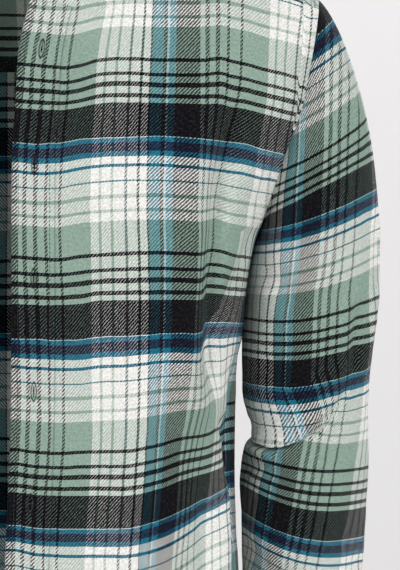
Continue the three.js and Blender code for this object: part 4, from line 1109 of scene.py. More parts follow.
def elbow_lip(grid, run, deg):
    """Folds the cloth over itself along the elbow's crease: a lip hangs over, the rest tucks under."""
    normal = grid_normals(grid, around=True)
    down = np.concatenate([grid[1:], grid[-1:]]) - np.concatenate([grid[:1], grid[:-1]])
    down = unit(down)
    path = np.array(ELBOW_CREASE)[::-1]
    at = np.interp(deg, path[:, 0], path[:, 1])
    strength = np.clip(np.minimum((deg - 38) / 40, (196 - deg) / 30), 0, 1)
    strength = strength ** 0.8 * np.interp(deg, (70, 92, 104, 118), (0.0, 0.15, 0.6, 1.0))
    s = (run - at) * RING_MM * 0.97
    above = np.exp(-((np.minimum(s, 0) / 7.5) ** 2)) * (s <= 0)
    below = np.exp(-((np.maximum(s, 0) / 9.0) ** 2)) * (s > 0)
    sink = np.clip(s / 2.6, 0, 1)
    deepest = np.interp(deg, (118, 136, 190, 212), (-6.2, -9.6, -9.6, -6.2))
    out = above * 2.6 + below * lerp(2.6, deepest, sink * sink * (3 - 2 * sink))
    slide = above * 4.2 + below * lerp(4.2, -1.5, sink * sink * (3 - 2 * sink))
    # Towards the front it is the other way round: the upper cloth dips and the lower stands proud.
    turned = np.interp(deg, (44, 68, 96, 112), (0.0, 1.0, 1.0, 0.0))
    dip = -3.8 * np.exp(-(((s + 3.2) / 4.8) ** 2)) + 2.0 * np.exp(-(((s - 3.4) / 5.5) ** 2))
    return grid + normal * (out * strength + dip * turned)[..., None] + down * (slide * strength)[..., None]


# %% The lie of the threads on the left sleeve
SLEEVE_MIDDLE = table("down middle half", [
    (0, 328, 46), (80, 329, 46), (145, 328, 47), (188, 322, 54), (215, 320, 56), (260, 316.5, 61), (317, 313, 67),
    (360, 311, 66), (391, 309, 64), (440, 305.5, 64.5), (471, 305, 64), (511, 305, 62), (541, 303, 62), (650, 300, 60)])
BLACK_WARP_AT = table("down at", [
    (0, 315), (80, 315), (140, 314), (200, 312), (260, 309), (300, 304), (380, 301), (420, 298), (470, 289),
    (540, 277), (620, 262)])
WEFT_LINES = table("thread level tilt curve middle half", [
    (-100, -150, 58, 0, 328, 46), (31, 24, 46, 0, 328, 46), (51, 50.5, 35, 0, 328, 46), (60, 60, 33, 0, 328, 46), (147, 148, 29, -6, 327, 47), (196.5, 188, 29, 0, 322, 54),
    (227.5, 216, 21, -6, 320, 56), (343.5, 319, 12, -13, 313, 67), (393, 360, 10, -13, 311, 66),
    (540, 471, -8, -11, 305, 64), (589.5, 511.5, -11, -14, 305, 62), (620.5, 541, -13, -16, 303, 62),
    (700, 606, -16, -16, 301, 61), (900, 770, -18, -16, 298, 60)])
HIDDEN = table("turn cloth", [
    (20, 0), (50, 0), (72, 8), (82, 16), (95, 21), (110, 26), (132, 30), (146, 32), (186, 30), (214, 14), (250, 0), (560, 0)])


def sleeve_weave(flat, run, deg):
    across, down = to_picture(flat)
    turn = np.mod(deg, 360)
    facing = np.sin(np.radians(turn)) >= 0
    middle = read(SLEEVE_MIDDLE, "down", "middle", down)
    half = read(SLEEVE_MIDDLE, "down", "half", down)
    t = np.clip((across - middle) / half, -0.999, 0.999)
    t_black = (read(BLACK_WARP_AT, "down", "at", down) - middle) / half
    behind = np.where(turn < 200, (90 - turn), (450 - turn))
    # Close to the sleeve's sides the turn round the arm takes over, so the check meets the hidden half.
    inwards = np.clip((np.minimum(turn, 180 - turn) - 8) / 18, 0, 1)
    angle = np.where(facing, lerp(np.radians(90 - turn), np.arcsin(t), inwards), np.radians(behind))
    side = np.cos(np.radians(turn)) ** 2
    warp = 183 + (angle - np.arcsin(t_black)) * half * 1.137
    levels = []
    for k in range(len(WEFT_LINES["thread"])):
        line = {name: WEFT_LINES[name][k] for name in WEFT_LINES}
        at = np.clip((across - line["middle"]) / line["half"], -1.25, 1.25)
        bow = np.where(facing, lerp(side, at ** 2, inwards), 2 - side)
        levels.append(line["level"] - line["tilt"] * at + line["curve"] * bow)
    threads = [np.full(across.shape, v) for v in WEFT_LINES["thread"]]
    upper, lower = 8, 9
    crease_run = np.interp(np.where(turn < 20, 360, turn), [p[0] for p in ELBOW_CREASE[::-1]],
                           [p[1] for p in ELBOW_CREASE[::-1]])
    crease_at = sleeve_ring(crease_run, deg)
    _, crease_down = to_picture(crease_at)
    # The cloth over the crease is drawn towards it, so its warp threads lean as they go down.
    above = crease_down - down
    drawn = np.clip(1 - above / 52, 0, 1) * np.clip(1 + above / 3, 0, 1)
    warp = warp - 25 * drawn * np.interp(turn, (50, 85, 190, 215), (0, 1, 1, 0))
    hidden = np.interp(turn, HIDDEN["turn"], HIDDEN["cloth"])
    shown = levels[lower] - levels[upper]
    slope = (147 - hidden) / shown
    before = 393 + (crease_down - levels[upper]) * slope
    gathered = np.interp(turn, (60, 112), (6.0, 1.0))
    marks = levels[:upper + 1] + [crease_down - gathered, crease_down + 1.0] + levels[lower:]
    values = threads[:upper + 1] + [before - slope * gathered, before + hidden + slope] + threads[lower:]
    marks = np.maximum.accumulate(np.stack(marks), axis=0)
    weft = between(marks, np.stack(values), down)
    joined = threads[:upper + 1] + [before - slope * gathered, before + slope] + [v - hidden for v in threads[lower:]]
    twill = between(marks, np.stack(joined), down)
    across_mm, down_mm, twill_mm = ((v * CHART_MM * MM) for v in (warp - 62, weft, twill))
    return np.stack([across_mm, down_mm, across_mm * 0.88, twill_mm * 0.88], axis=-1)


SLEEVE_ROWS = rows_of((-1, 0, 44), (0, 4.4, 56), (4.4, 7.8, 90), (7.8, 13, 66))
SLEEVE_DEGREES = np.linspace(SEAM_TURN, SEAM_TURN + 360, 171)


def sleeve_surface(folds, rows):
    flat, run, deg = sleeve_flat(rows, SLEEVE_DEGREES)
    normal = grid_normals(flat, around=True)
    ends = np.clip(np.minimum((run + 1) / 0.4, (13 - run) / 0.8), 0, 1)
    moved = flat - normal * (sleeve_pressed(folds, run, np.mod(deg, 360)) * ends)[..., None]
    turn = np.mod(deg, 360)
    leaning = np.exp(-(((turn - 180) / 34) ** 2)) * np.exp(-(((run - 0.6) / 2.0) ** 2))
    moved = moved + grid_normals(moved, around=True) * (2.6 * leaning * ends)[..., None]
    moved = elbow_lip(moved, run, turn)
    moved[:, -1] = moved[:, 0]
    return moved, flat, run, deg


def sleeve_under(grid, weave):
    """The sleeve's seam allowance, tucked inside the armhole."""
    centre = np.array([230.0, 0.0, ARM_MIDDLE])
    first = grid[0]
    inward = unit(centre - first)
    lower = np.clip((-(first[:, 2] - ARM_MIDDLE) / ARM_HALF - 0.45) / 0.4, 0, 1)[:, None]
    tuck = lerp(np.array([-3.2, 0, 0]) + inward * 2.2, np.array([-1.4, 0, 0.6]) + inward * 0.6, lower)
    new = np.stack([first + tuck * 1.8, first + tuck * 0.9, first + tuck * 0.35])
    more = np.stack([weave[0] - np.array([0, d, 0, d]) for d in (0.006, 0.003, 0.001)])
    return np.concatenate([new, grid]), np.concatenate([more, weave])


arm, arm_flat, arm_run, arm_deg = sleeve_surface(LEFT_SLEEVE_FOLDS, SLEEVE_ROWS)
arm_weave = sleeve_weave(arm_flat, arm_run, arm_deg)
tucked_arm, tucked_weave = sleeve_under(arm, arm_weave)
left_sleeve = cloth("left_sleeve_cloth", tucked_arm, tucked_weave, CLOTH, FLANNEL, around=True)
other_arm, other_flat, other_run, other_deg = sleeve_surface(LEFT_SLEEVE_FOLDS, SLEEVE_ROWS[::2])
other_weave = arm_weave[::2] * np.array([-1, 1, -1, 1]) + np.array([0.031, 0.012, 0, 0])
other_arm, other_weave = sleeve_under(other_arm, other_weave)
right_sleeve = cloth("right_sleeve_cloth", (other_arm * MIRROR)[:, ::-1], other_weave[:, ::-1], CLOTH, FLANNEL,
                     around=True)

# %% [markdown]
# ## Back and yoke
# The back is one panel from side seam to side seam. The yoke lies over the shoulders and joins the
# fronts, the back, the sleeves and the collar.

# %% Back
BACK_FOLDS = [
    ([(205, -190), (190, -320), (178, -430)], 18, 9.0, 0.1), ([(165, -230), (150, -520)], 22, -5.5, 0.0),
    ([(120, -420), (132, -740)], 24, 7.5, 0.0), ([(40, -330), (30, -560)], 32, -4.5, 0.0),
    ([(-212, -195), (-186, -410)], 18, 9.0, 0.1), ([(-168, -230), (-155, -480)], 24, -5.5, 0.0),
    ([(-108, -440), (-118, -740)], 26, 7.5, 0.0), ([(-225, -480), (-110, -420)], 16, 4.5, 0.0),
    ([(228, -470), (120, -400)], 16, 4.5, 0.0), ([(-30, -560), (-38, -740)], 24, 5.0, 0.0),
    ([(70, -560), (62, -742)], 22, -4.5, 0.0), ([(-60, -180), (-20, -260), (60, -255)], 22, 2.5, 0.0)]
BACK_ROWS = rows_of((0, 16, 88), (16, 24, 36))


def back_grid():
    rows = BACK_ROWS[:, None]
    f = np.linspace(1, -1, 181)[None, :]
    low_part = rows <= 16
    side_z = lerp(HEM_SIDE, UNDERARM, np.clip(rows / 16, 0, 1))
    body_z = lerp(hem_z(HEM_BACK, f), UNDERARM, np.clip(rows / 16, 0, 1))
    turn = lerp(-180, -YOKE_BACK_TURN, np.clip((BACK_ROWS - 16) / 8, 0, 1))
    hole = armhole(turn)
    arm_q = run_to(hole[:, 0], hole[:, 2], "back")[:, None]
    z = np.where(low_part, body_z, hole[:, 2][:, None])
    q = np.where(low_part, side_run(side_z, "back"), arm_q) * f
    flat = on_body(q, z, "back")
    at_side = np.clip((1 - np.abs(f)) * 14 / 1.5, 0, 1)
    return flat - grid_normals(flat) * (pressed(BACK_FOLDS, q, z) * at_side)[..., None], q, z


back_points, back_q, back_z = back_grid()
back_weave = np.stack([-back_q * MM + 0.0698, -back_z * MM + 0.0035], axis=-1)
thickness = hem_thickness(along_rows(back_points))
wide_back, wide_weave = tucked(back_points, back_weave, "start")
wide_back, wide_weave = tucked(wide_back, wide_weave, "end")
thickness = np.concatenate([thickness[:, :3] * 0 + CLOTH, thickness, thickness[:, :3] * 0 + CLOTH], axis=1)
back = cloth("back_cloth", wide_back, wide_weave, thickness, FLANNEL)


# %% Yoke
def neckline(share):
    front_turn = -math.acos(1 - SHOULDER_DROP / ARCH["front"])
    if share < 0.3:
        t = 1 - share / 0.3
        return NECK_HALF - (NECK_HALF - NECK_CORNER) * t * t, front_turn * t
    rounded = (share - 0.3) / 0.7 * math.pi / 2
    return NECK_HALF * math.cos(rounded), NECK_BACK_TURN * math.sin(rounded)


def yoke_grid():
    j = np.linspace(0, 7, 43)
    turns = np.where(j <= 3, YOKE_FRONT_TURN * (1 - j / 3), -YOKE_BACK_TURN * (j - 3) / 4)
    hole = armhole(turns)
    front = hole[:, 1] < 0
    drop = np.where(front, ARCH["front"], ARCH["back"])
    hole_turn = np.where(front, -1, 1) * np.arccos(np.clip(1 - (ridge(hole[:, 0]) - hole[:, 2]) / drop, -1, 1))
    columns = []
    for i in np.linspace(0, 12, 73):
        t, share = i / 6, i / 12
        if t < 1:
            start = (lerp(hole[0, 0], NECK_CORNER, t), lerp(hole_turn[0], neckline(0)[1], t))
        else:
            start = neckline((i - 6) / 6)
        end_x = hole[-1, 0] * (1 - share)
        end_turn = math.acos(np.clip(1 - (float(ridge(end_x)) - YOKE_BACK) / ARCH["back"], -1, 1))
        s = j / 7
        bulge = max(0.0, 1 - t)
        dx = bulge * (hole[:, 0] - lerp(hole[0, 0], hole[-1, 0], s))
        dt = bulge * (hole_turn - lerp(hole_turn[0], hole_turn[-1], s))
        columns.append(over_shoulder(lerp(start[0], end_x, s) + dx, lerp(start[1], end_turn, s) + dt))
    half = np.stack(columns, axis=1)
    whole = np.concatenate([half, (half[:, :-1] * MIRROR)[:, ::-1]], axis=1)
    return whole[:, ::-1]


yoke_points = yoke_grid()
yoke_down = along_rows(yoke_points)
yoke_points = yoke_points - grid_normals(yoke_points) * (0.5 * uneven(yoke_points[..., 0], yoke_down, 22))[..., None]
from_back_seam = yoke_down[-1:] - yoke_down
yoke_weave = np.stack([(yoke_points[..., 0] + 12) * MM, (170 - from_back_seam) * MM], axis=-1)
yoke = cloth("yoke_cloth", yoke_points, yoke_weave, CLOTH, FLANNEL)

# %% [markdown]
# ## Collar, cuffs and slit strips
# The stand is a narrow band round the neck. The leaf folds down over it from its top edge. Each
# cuff wraps the wrist and laps over itself, below a narrow strip that finishes the sleeve's slit.

# %% Collar
STAND_LEAN = table("share x y z", [
    (0, -0.1, 0.4, 0.9), (0.3, -0.2, 0.15, 0.96), (0.55, -0.16, -0.04, 0.98), (1, 0, -0.2, 0.97)])
LEAF_EDGE = table("share x y z", [
    (0.07, 98, -108, -54), (0.18, 107, -93, -43), (0.3, 112, -70, -27), (0.45, 114, -37, -8),
    (0.6, 108, 10, 1), (0.75, 90, 54, -3), (0.88, 50, 79, -10), (1, 0, 88, -14)])


def neck_stations():
    heights = np.array([-50.0, -40.0, -30.0, -19.0])
    places = list(on_body(edge_q(heights), heights, "front"))
    shares = list((heights + 50) / 43 * 0.3)
    for s in np.linspace(0, 1, 10):
        x, turn = neckline(s)
        places.append(over_shoulder(x, turn))
        shares.append(0.3 + 0.7 * s)
    return np.array(places), np.array(shares)


def finer(values, key, at):
    return np.stack([smooth_through(key, values[:, k], at) for k in range(values.shape[1])], axis=-1)


def stand_points(places, shares, rise):
    up = unit(np.stack([read(STAND_LEAN, "share", c, shares) for c in "xyz"], axis=-1))
    return places + up * np.asarray(rise)[..., None]


def both_sides(columns):
    return np.concatenate([columns, (columns[:, :-1] * MIRROR)[:, ::-1]], axis=1)


neck_places, neck_shares = neck_stations()
station = np.arange(len(neck_places), dtype=float)
fine = np.linspace(0, len(station) - 1, 85)
fine_places, fine_shares = finer(neck_places, station, fine), np.interp(fine, station, neck_shares)
stand_height = lerp(25, 30, np.clip(fine_shares / 0.5, 0, 1))
stand_rows = [stand_points(fine_places, fine_shares, lerp(1.3, stand_height, s)) for s in np.linspace(0, 1, 15)]
stand_half = np.stack(stand_rows)
stand_grid = both_sides(stand_half)
stand_run = np.concatenate([[0], np.cumsum(np.linalg.norm(np.diff(stand_grid[7], axis=0), axis=1))])
stand_weave = np.stack(np.broadcast_arrays(stand_run[None, :] * MM, -np.linspace(0, 30, 15)[:, None] * MM), axis=-1)
collar_stand = cloth("collar_stand_cloth", stand_grid, stand_weave, 1.8, FLANNEL)

leaf_from = np.linspace(1, len(station) - 1, 81)
leaf_places, leaf_shares = finer(neck_places, station, leaf_from), np.interp(leaf_from, station, neck_shares)
leaf_height = lerp(25, 30, np.clip(leaf_shares / 0.5, 0, 1))
fold_line = stand_points(leaf_places, leaf_shares, leaf_height + 2.0)
leaf_edge = np.stack([read(LEAF_EDGE, "share", c, leaf_shares) for c in "xyz"], axis=-1)
leaf_away = unit((leaf_edge - fold_line) * np.array([1.0, 1.0, 0.0]))
fold_line = fold_line + leaf_away * 2.6
leaf_rows = []
for s in np.linspace(0, 1, 27):
    bulge = 5 * math.sin(math.pi * s ** 0.6)
    leaf_rows.append(lerp(fold_line, leaf_edge, s) + leaf_away * bulge * 0.8 + np.array([0, 0, bulge * 0.7]))
leaf_grid = both_sides(np.stack(leaf_rows))[::-1]
leaf_run = np.concatenate([[0], np.cumsum(np.linalg.norm(np.diff(leaf_grid[13], axis=0), axis=1))])
leaf_across = along_rows(leaf_grid)
leaf_weave = np.stack([np.broadcast_to(leaf_run[None, :] * MM, leaf_across.shape), -leaf_across * MM], axis=-1)
collar_leaf = cloth("collar_leaf_cloth", leaf_grid, leaf_weave, 1.8, FLANNEL)


# %% Cuffs and slit strips
CUFF_TURN, CUFF_TALL, CUFF_CLOTH, CUFF_LAP = 238.0, 64, 2.4, 24
WRIST = 13.0


def cuff_grid():
    t = np.linspace(0, 1, 131)
    degrees = CUFF_TURN + t * (360 + CUFF_LAP)
    p = sleeve_ring(np.full_like(t, WRIST), degrees)
    ends = sleeve_ring(np.array([WRIST, WRIST]), np.array([0.0, 180.0]))
    outward = unit(p - ends.mean(axis=0))
    lift = (CUFF_CLOTH + 0.3) * np.clip((t * (360 + CUFF_LAP) - 300) / 55, 0, 1) + 0.2
    top = p + outward * lift[:, None] - np.array([0, 0, 0.8])
    down = np.array([-2.0, -6.0, -CUFF_TALL])
    bow = [0.5 * math.sin(math.pi * s) for s in np.linspace(0, 1, 31)]
    return np.stack([top + down * s + outward * b for s, b in zip(np.linspace(0, 1, 31), bow)])


cuff_points = cuff_grid()
cuff_run = np.concatenate([[0], np.cumsum(np.linalg.norm(np.diff(cuff_points[0], axis=0), axis=1))])
cuff_weave = np.stack(np.broadcast_arrays(-cuff_run[None, :] * MM, np.linspace(0, 64, 31)[:, None] * MM), axis=-1)
left_cuff = cloth("left_cuff_cloth", cuff_points, cuff_weave, CUFF_CLOTH, FLANNEL)
right_cuff = cloth("right_cuff_cloth", (cuff_points * MIRROR)[:, ::-1], cuff_weave[:, ::-1], CUFF_CLOTH, FLANNEL)


def slit_strip(surface):
    """The strip over the sleeve's slit, which follows the sleeve just above it."""
    normal = grid_normals(surface, around=True)
    turns = np.mod(SLEEVE_DEGREES, 360)
    column = int(np.argmin(np.abs(SLEEVE_DEGREES - CUFF_TURN)))
    line = surface[::-1, column]
    run = np.concatenate([[0], np.cumsum(np.linalg.norm(np.diff(line, axis=0), axis=1))])
    keep = (run > 4.0) & (run < 152.0)
    line, facing = line[keep], normal[::-1, column][keep]
    across = unit(surface[::-1, column + 1][keep] - surface[::-1, column - 1][keep])
    strips = []
    for offset in np.linspace(12.5, -12.5, 13):
        bend = offset ** 2 / (2 * 46)
        strips.append(line + across * offset + facing * (0.8 + 0.3 + 0.7 + 0.5 - bend))
    return np.stack(strips, axis=1), run[keep]


strip_points, strip_run = slit_strip(arm)
strip_weave = np.stack(np.broadcast_arrays(np.linspace(0, 25, 13)[None, :] * MM, -strip_run[:, None] * MM), axis=-1)
left_strip = cloth("left_strip_cloth", strip_points, strip_weave, 1.4, FLANNEL)
right_strip = cloth("right_strip_cloth", (strip_points * MIRROR)[:, ::-1], strip_weave[:, ::-1], 1.4, FLANNEL)

# %% [markdown]
# ## Stitches and buttonhole thread
# A stitch is the same small thing hundreds of times over, so Geometry Nodes lay them out. One tree
# sets short capsules of thread end to end along a drawn line. Another draws one long thread along
# a path, which sews round a buttonhole or through a button.

# %% Thread
def cotton(name, colour):
    paint, tree, shader = new_paint(name)
    coordinates = tree.nodes.new("ShaderNodeTexCoord")
    twist = noise_node(tree, coordinates.outputs["Object"], 2600, 2.0)
    shade = blend_node(tree, twist, (*[c * 0.6 for c in colour[:3]], 1), (*[c * 1.5 for c in colour[:3]], 1), "RGBA")
    tree.links.new(shade, shader.inputs["Base Color"])
    bump = tree.nodes.new("ShaderNodeBump")
    bump.inputs["Strength"].default_value = 0.4
    bump.inputs["Distance"].default_value = 0.0001
    tree.links.new(twist, bump.inputs["Height"])
    tree.links.new(bump.outputs[0], shader.inputs["Normal"])
    shader.inputs["Roughness"].default_value = 0.7
    shader.inputs["Sheen Weight"].default_value = 0.1
    return paint


DARK_THREAD = cotton("dark_thread", thread(34, 38, 46))


def input_of(tree, name, kind, value=None):
    socket = tree.interface.new_socket(name, in_out="INPUT", socket_type=kind)
    if value is not None:
        socket.default_value = value
    return socket


def row_of_stitches():
    tree = bpy.data.node_groups.new("row_of_stitches", "GeometryNodeTree")
    input_of(tree, "Line", "NodeSocketGeometry")
    input_of(tree, "Stitch length", "NodeSocketFloat", 0.0029)
    input_of(tree, "Gap", "NodeSocketFloat", 0.0007)
    input_of(tree, "Thickness", "NodeSocketFloat", 0.0003)
    input_of(tree, "Thread", "NodeSocketMaterial")
    tree.interface.new_socket("Stitches", in_out="OUTPUT", socket_type="NodeSocketGeometry")
    add = tree.nodes.new
    start, end = add("NodeGroupInput"), add("NodeGroupOutput")
    curve, spaced = add("GeometryNodeMeshToCurve"), add("GeometryNodeResampleCurve")
    spaced.mode = "LENGTH"
    pitch = add("ShaderNodeMath")
    ball, placed = add("GeometryNodeMeshUVSphere"), add("GeometryNodeInstanceOnPoints")
    ball.inputs["Segments"].default_value = 6
    ball.inputs["Rings"].default_value = 5
    half, size = add("ShaderNodeMath"), add("ShaderNodeCombineXYZ")
    half.operation = "MULTIPLY"
    half.inputs[1].default_value = 0.5
    tangent, turn = add("GeometryNodeInputTangent"), add("FunctionNodeAlignRotationToVector")
    turn.axis = "X"
    real, smooth, paint = add("GeometryNodeRealizeInstances"), add("GeometryNodeSetShadeSmooth"), add("GeometryNodeSetMaterial")
    join = tree.links.new
    join(start.outputs["Line"], curve.inputs["Mesh"])
    join(curve.outputs[0], spaced.inputs["Curve"])
    join(start.outputs["Stitch length"], pitch.inputs[0])
    join(start.outputs["Gap"], pitch.inputs[1])
    join(pitch.outputs[0], spaced.inputs["Length"])
    ball.inputs["Radius"].default_value = 1.0
    join(start.outputs["Stitch length"], half.inputs[0])
    join(half.outputs[0], size.inputs[0])
    join(start.outputs["Thickness"], size.inputs[1])
    join(start.outputs["Thickness"], size.inputs[2])
    join(tangent.outputs[0], turn.inputs["Vector"])
    join(spaced.outputs[0], placed.inputs["Points"])
    join(ball.outputs["Mesh"], placed.inputs["Instance"])
    join(turn.outputs[0], placed.inputs["Rotation"])
    join(size.outputs[0], placed.inputs["Scale"])
    join(placed.outputs[0], real.inputs[0])
    join(real.outputs[0], smooth.inputs[0])
    join(smooth.outputs[0], paint.inputs["Geometry"])
    join(start.outputs["Thread"], paint.inputs["Material"])
    join(paint.outputs[0], end.inputs[0])
    return tree


def long_thread():
    tree = bpy.data.node_groups.new("long_thread", "GeometryNodeTree")
    input_of(tree, "Line", "NodeSocketGeometry")
    input_of(tree, "Thickness", "NodeSocketFloat", 0.0003)
    input_of(tree, "Thread", "NodeSocketMaterial")
    tree.interface.new_socket("Sewn", in_out="OUTPUT", socket_type="NodeSocketGeometry")
    add = tree.nodes.new
    start, end = add("NodeGroupInput"), add("NodeGroupOutput")
    curve, ring, tube = add("GeometryNodeMeshToCurve"), add("GeometryNodeCurvePrimitiveCircle"), add("GeometryNodeCurveToMesh")
    ring.inputs["Resolution"].default_value = 5
    tube.inputs["Fill Caps"].default_value = True
    real, smooth, paint = add("GeometryNodeRealizeInstances"), add("GeometryNodeSetShadeSmooth"), add("GeometryNodeSetMaterial")
    join = tree.links.new
    join(start.outputs["Line"], curve.inputs["Mesh"])
    join(start.outputs["Thickness"], ring.inputs["Radius"])
    join(curve.outputs[0], tube.inputs["Curve"])
    join(ring.outputs[0], tube.inputs["Profile Curve"])
    join(tube.outputs[0], real.inputs[0])
    join(real.outputs[0], smooth.inputs[0])
    join(smooth.outputs[0], paint.inputs["Geometry"])
    join(start.outputs["Thread"], paint.inputs["Material"])
    join(paint.outputs[0], end.inputs[0])
    return tree


STITCHES, LONG_THREAD = row_of_stitches(), long_thread()


def sewn(name, lines, tree, settings, paint):
    """Runs a tree over drawn lines (millimetres) and keeps the result as a plain mesh."""
    points, edges = [], []
    for line in lines:
        first = len(points)
        points += [tuple(p * MM) for p in line]
        edges += [(first + k, first + k + 1) for k in range(len(line) - 1)]
    shape = bpy.data.meshes.new(name + "_line")
    shape.from_pydata(points, edges, [])
    drawn = bpy.data.objects.new(name + "_line", shape)
    bpy.context.scene.collection.objects.link(drawn)
    grown = drawn.modifiers.new("sewing", "NODES")
    grown.node_group = tree
    for item in tree.interface.items_tree:
        if item.item_type == "SOCKET" and item.in_out == "INPUT" and item.name in settings:
            grown[item.identifier] = settings[item.name]
        if item.item_type == "SOCKET" and item.in_out == "INPUT" and item.name == "Thread":
            grown[item.identifier] = paint
    ready = bpy.context.evaluated_depsgraph_get()
    made = bpy.data.meshes.new_from_object(drawn.evaluated_get(ready))
    bpy.data.objects.remove(drawn)
    made.materials.clear()
    made.materials.append(paint)
    made.shade_smooth()
    piece = bpy.data.objects.new(name, made)
    bpy.context.scene.collection.objects.link(piece)
    print(name, "-", len(lines), "rows,", sum(len(p.vertices) - 2 for p in made.polygons), "triangles")
    return piece


# %% Lines to sew along
def column_line(grid, column, out, first=0, last=None):
    """A line down a grid at a fractional column, standing off its face by `out`."""
    k = min(int(column), grid.shape[1] - 2)
    t = column - k
    normal = grid_normals(grid)
    line = lerp(grid[:, k], grid[:, k + 1], t) + lerp(normal[:, k], normal[:, k + 1], t) * out
    return line[first:last]


def row_line(grid, row, out, first=0, last=None):
    return column_line(np.swapaxes(grid, 0, 1), row, -out, first, last)


def inset_line(grid, distance, out, rows, from_end=True):
    """A line a fixed distance in from a grid's last (or first) column, over some rows."""
    g = grid if from_end else grid[:, ::-1]
    n = grid_normals(grid) if from_end else grid_normals(grid)[:, ::-1]
    away = from_armhole(g)
    line = []
    for j in range(*rows):
        k = int(np.searchsorted(-away[j], -distance))
        k = min(max(k, 1), g.shape[1] - 1)
        t = (away[j, k - 1] - distance) / max(away[j, k - 1] - away[j, k], 1e-6)
        line.append(lerp(g[j, k - 1], g[j, k], t) + n[j, k] * out)
    return np.array(line)


def down_inset(grid, distance, out, from_end=False):
    """A line a fixed distance up from a grid's first (or last) row."""
    turned = np.swapaxes(grid, 0, 1)
    return inset_line(turned, distance, -out, (0, turned.shape[0]), from_end)


ON_CLOTH = CLOTH / 2 + 0.12
first_over = 4 + CURL
band_pitch = BAND / 24
lines = [column_line(band, first_over + d / band_pitch, 0.7 - 0.1) for d in (3.5, 29.5)]
lines += [line * MIRROR for line in (column_line(other_band, first_over + d / band_pitch, 0.6) for d in (3.5, 29.5))]
right_as_left = (right_grid * MIRROR)[:, ::-1]
lines += [inset_line(left_grid, 7.6, ON_CLOTH - 0.5, (204, 280))]
lines += [inset_line(right_as_left, 7.6, ON_CLOTH, (102, 140)) * MIRROR]
lines += [down_inset(left_grid, 7.3, 1.15), down_inset(right_as_left, 7.3, 1.15) * MIRROR, down_inset(back_points, 7.3, 1.15)]
lines += [inset_line(yoke_points, 7.0, ON_CLOTH, (0, 43)), inset_line(yoke_points, 7.0, ON_CLOTH, (0, 43), False)]
lines += [inset_line(back_points, 7.0, ON_CLOTH, (90, 124)), inset_line(back_points, 7.0, ON_CLOTH, (90, 124), False)]
lines += [down_inset(yoke_points, 4.0, ON_CLOTH, True)]
lines += [down_inset(yoke_points, 4.0, ON_CLOTH)[2:34], down_inset(yoke_points, 4.0, ON_CLOTH)[-34:-2]]
lines += [down_inset(leaf_grid, 5.0, 1.02), inset_line(leaf_grid, 5.0, 1.02, (2, 27)),
          inset_line(leaf_grid, 5.0, 1.02, (2, 27), False)]
lines += [down_inset(stand_grid, 3.0, 1.02), down_inset(stand_grid, 3.0, 1.02, True)]
for side in (np.ones(3), MIRROR):
    lines += [row_line(cuff_points, r, 1.3) * side for r in (2.2, 27.8)]
    lines += [column_line(cuff_points, 127, 1.3, 2, 28) * side]
    lines += [column_line(strip_points, c, 0.8) * side for c in (1.4, 10.6)]
topstitch = sewn("topstitch", lines, STITCHES, {"Stitch length": 0.0029, "Gap": 0.0007, "Thickness": 0.00027}, DARK_THREAD)

# %% Buttonholes, oversewn
def buttonhole_thread(grid, column, z, out):
    j = row_near(grid, column, z)
    normal = grid_normals(grid)[j, column]
    up = unit(grid[j + 4, column] - grid[j - 4, column])
    across = unit(np.cross(up, normal))
    centre = grid[j, column] + normal * out
    path = []
    for k in range(117):
        a = 2 * math.pi * k / 116
        tall, wide = (6.9, 1.5) if k % 2 else (8.3, 2.7)
        s, c = math.sin(a), math.cos(a)
        inward = 0.25 if k % 2 else 0.0
        path.append(centre + up * tall * s + across * wide * math.copysign(abs(c) ** 1.25, c) - normal * inward)
    return np.array(path)


holes = [buttonhole_thread(band, HOLE_COLUMN, z, 0.85) for z in BUTTON_HEIGHTS]
hole_thread = sewn("buttonhole_thread", holes[:7], LONG_THREAD, {"Thickness": 0.00034}, DARK_THREAD)
print("7 buttonholes cut and sewn")

# %% [markdown]
# ## Buttons
# Small four-hole buttons with a raised rim, in dark marbled resin. The holes are really drilled, and
# two bars of thread hold each button a little off the cloth.

# %% One button
def resin():
    paint, tree, shader = new_paint("button_resin")
    coordinates = tree.nodes.new("ShaderNodeTexCoord")
    swirl = noise_node(tree, coordinates.outputs["Object"], 420, 4.0, 0.65)
    shade = blend_node(tree, swirl, thread(18, 22, 32), thread(92, 100, 112), "RGBA")
    tree.links.new(shade, shader.inputs["Base Color"])
    shader.inputs["Roughness"].default_value = 0.28
    shader.inputs["Coat Weight"].default_value = 0.4
    return paint


RESIN = resin()
BUTTON_RADIUS, BUTTON_THICK, HOLE_OUT, HOLE_RADIUS = 5.75, 2.6, 1.55, 0.72


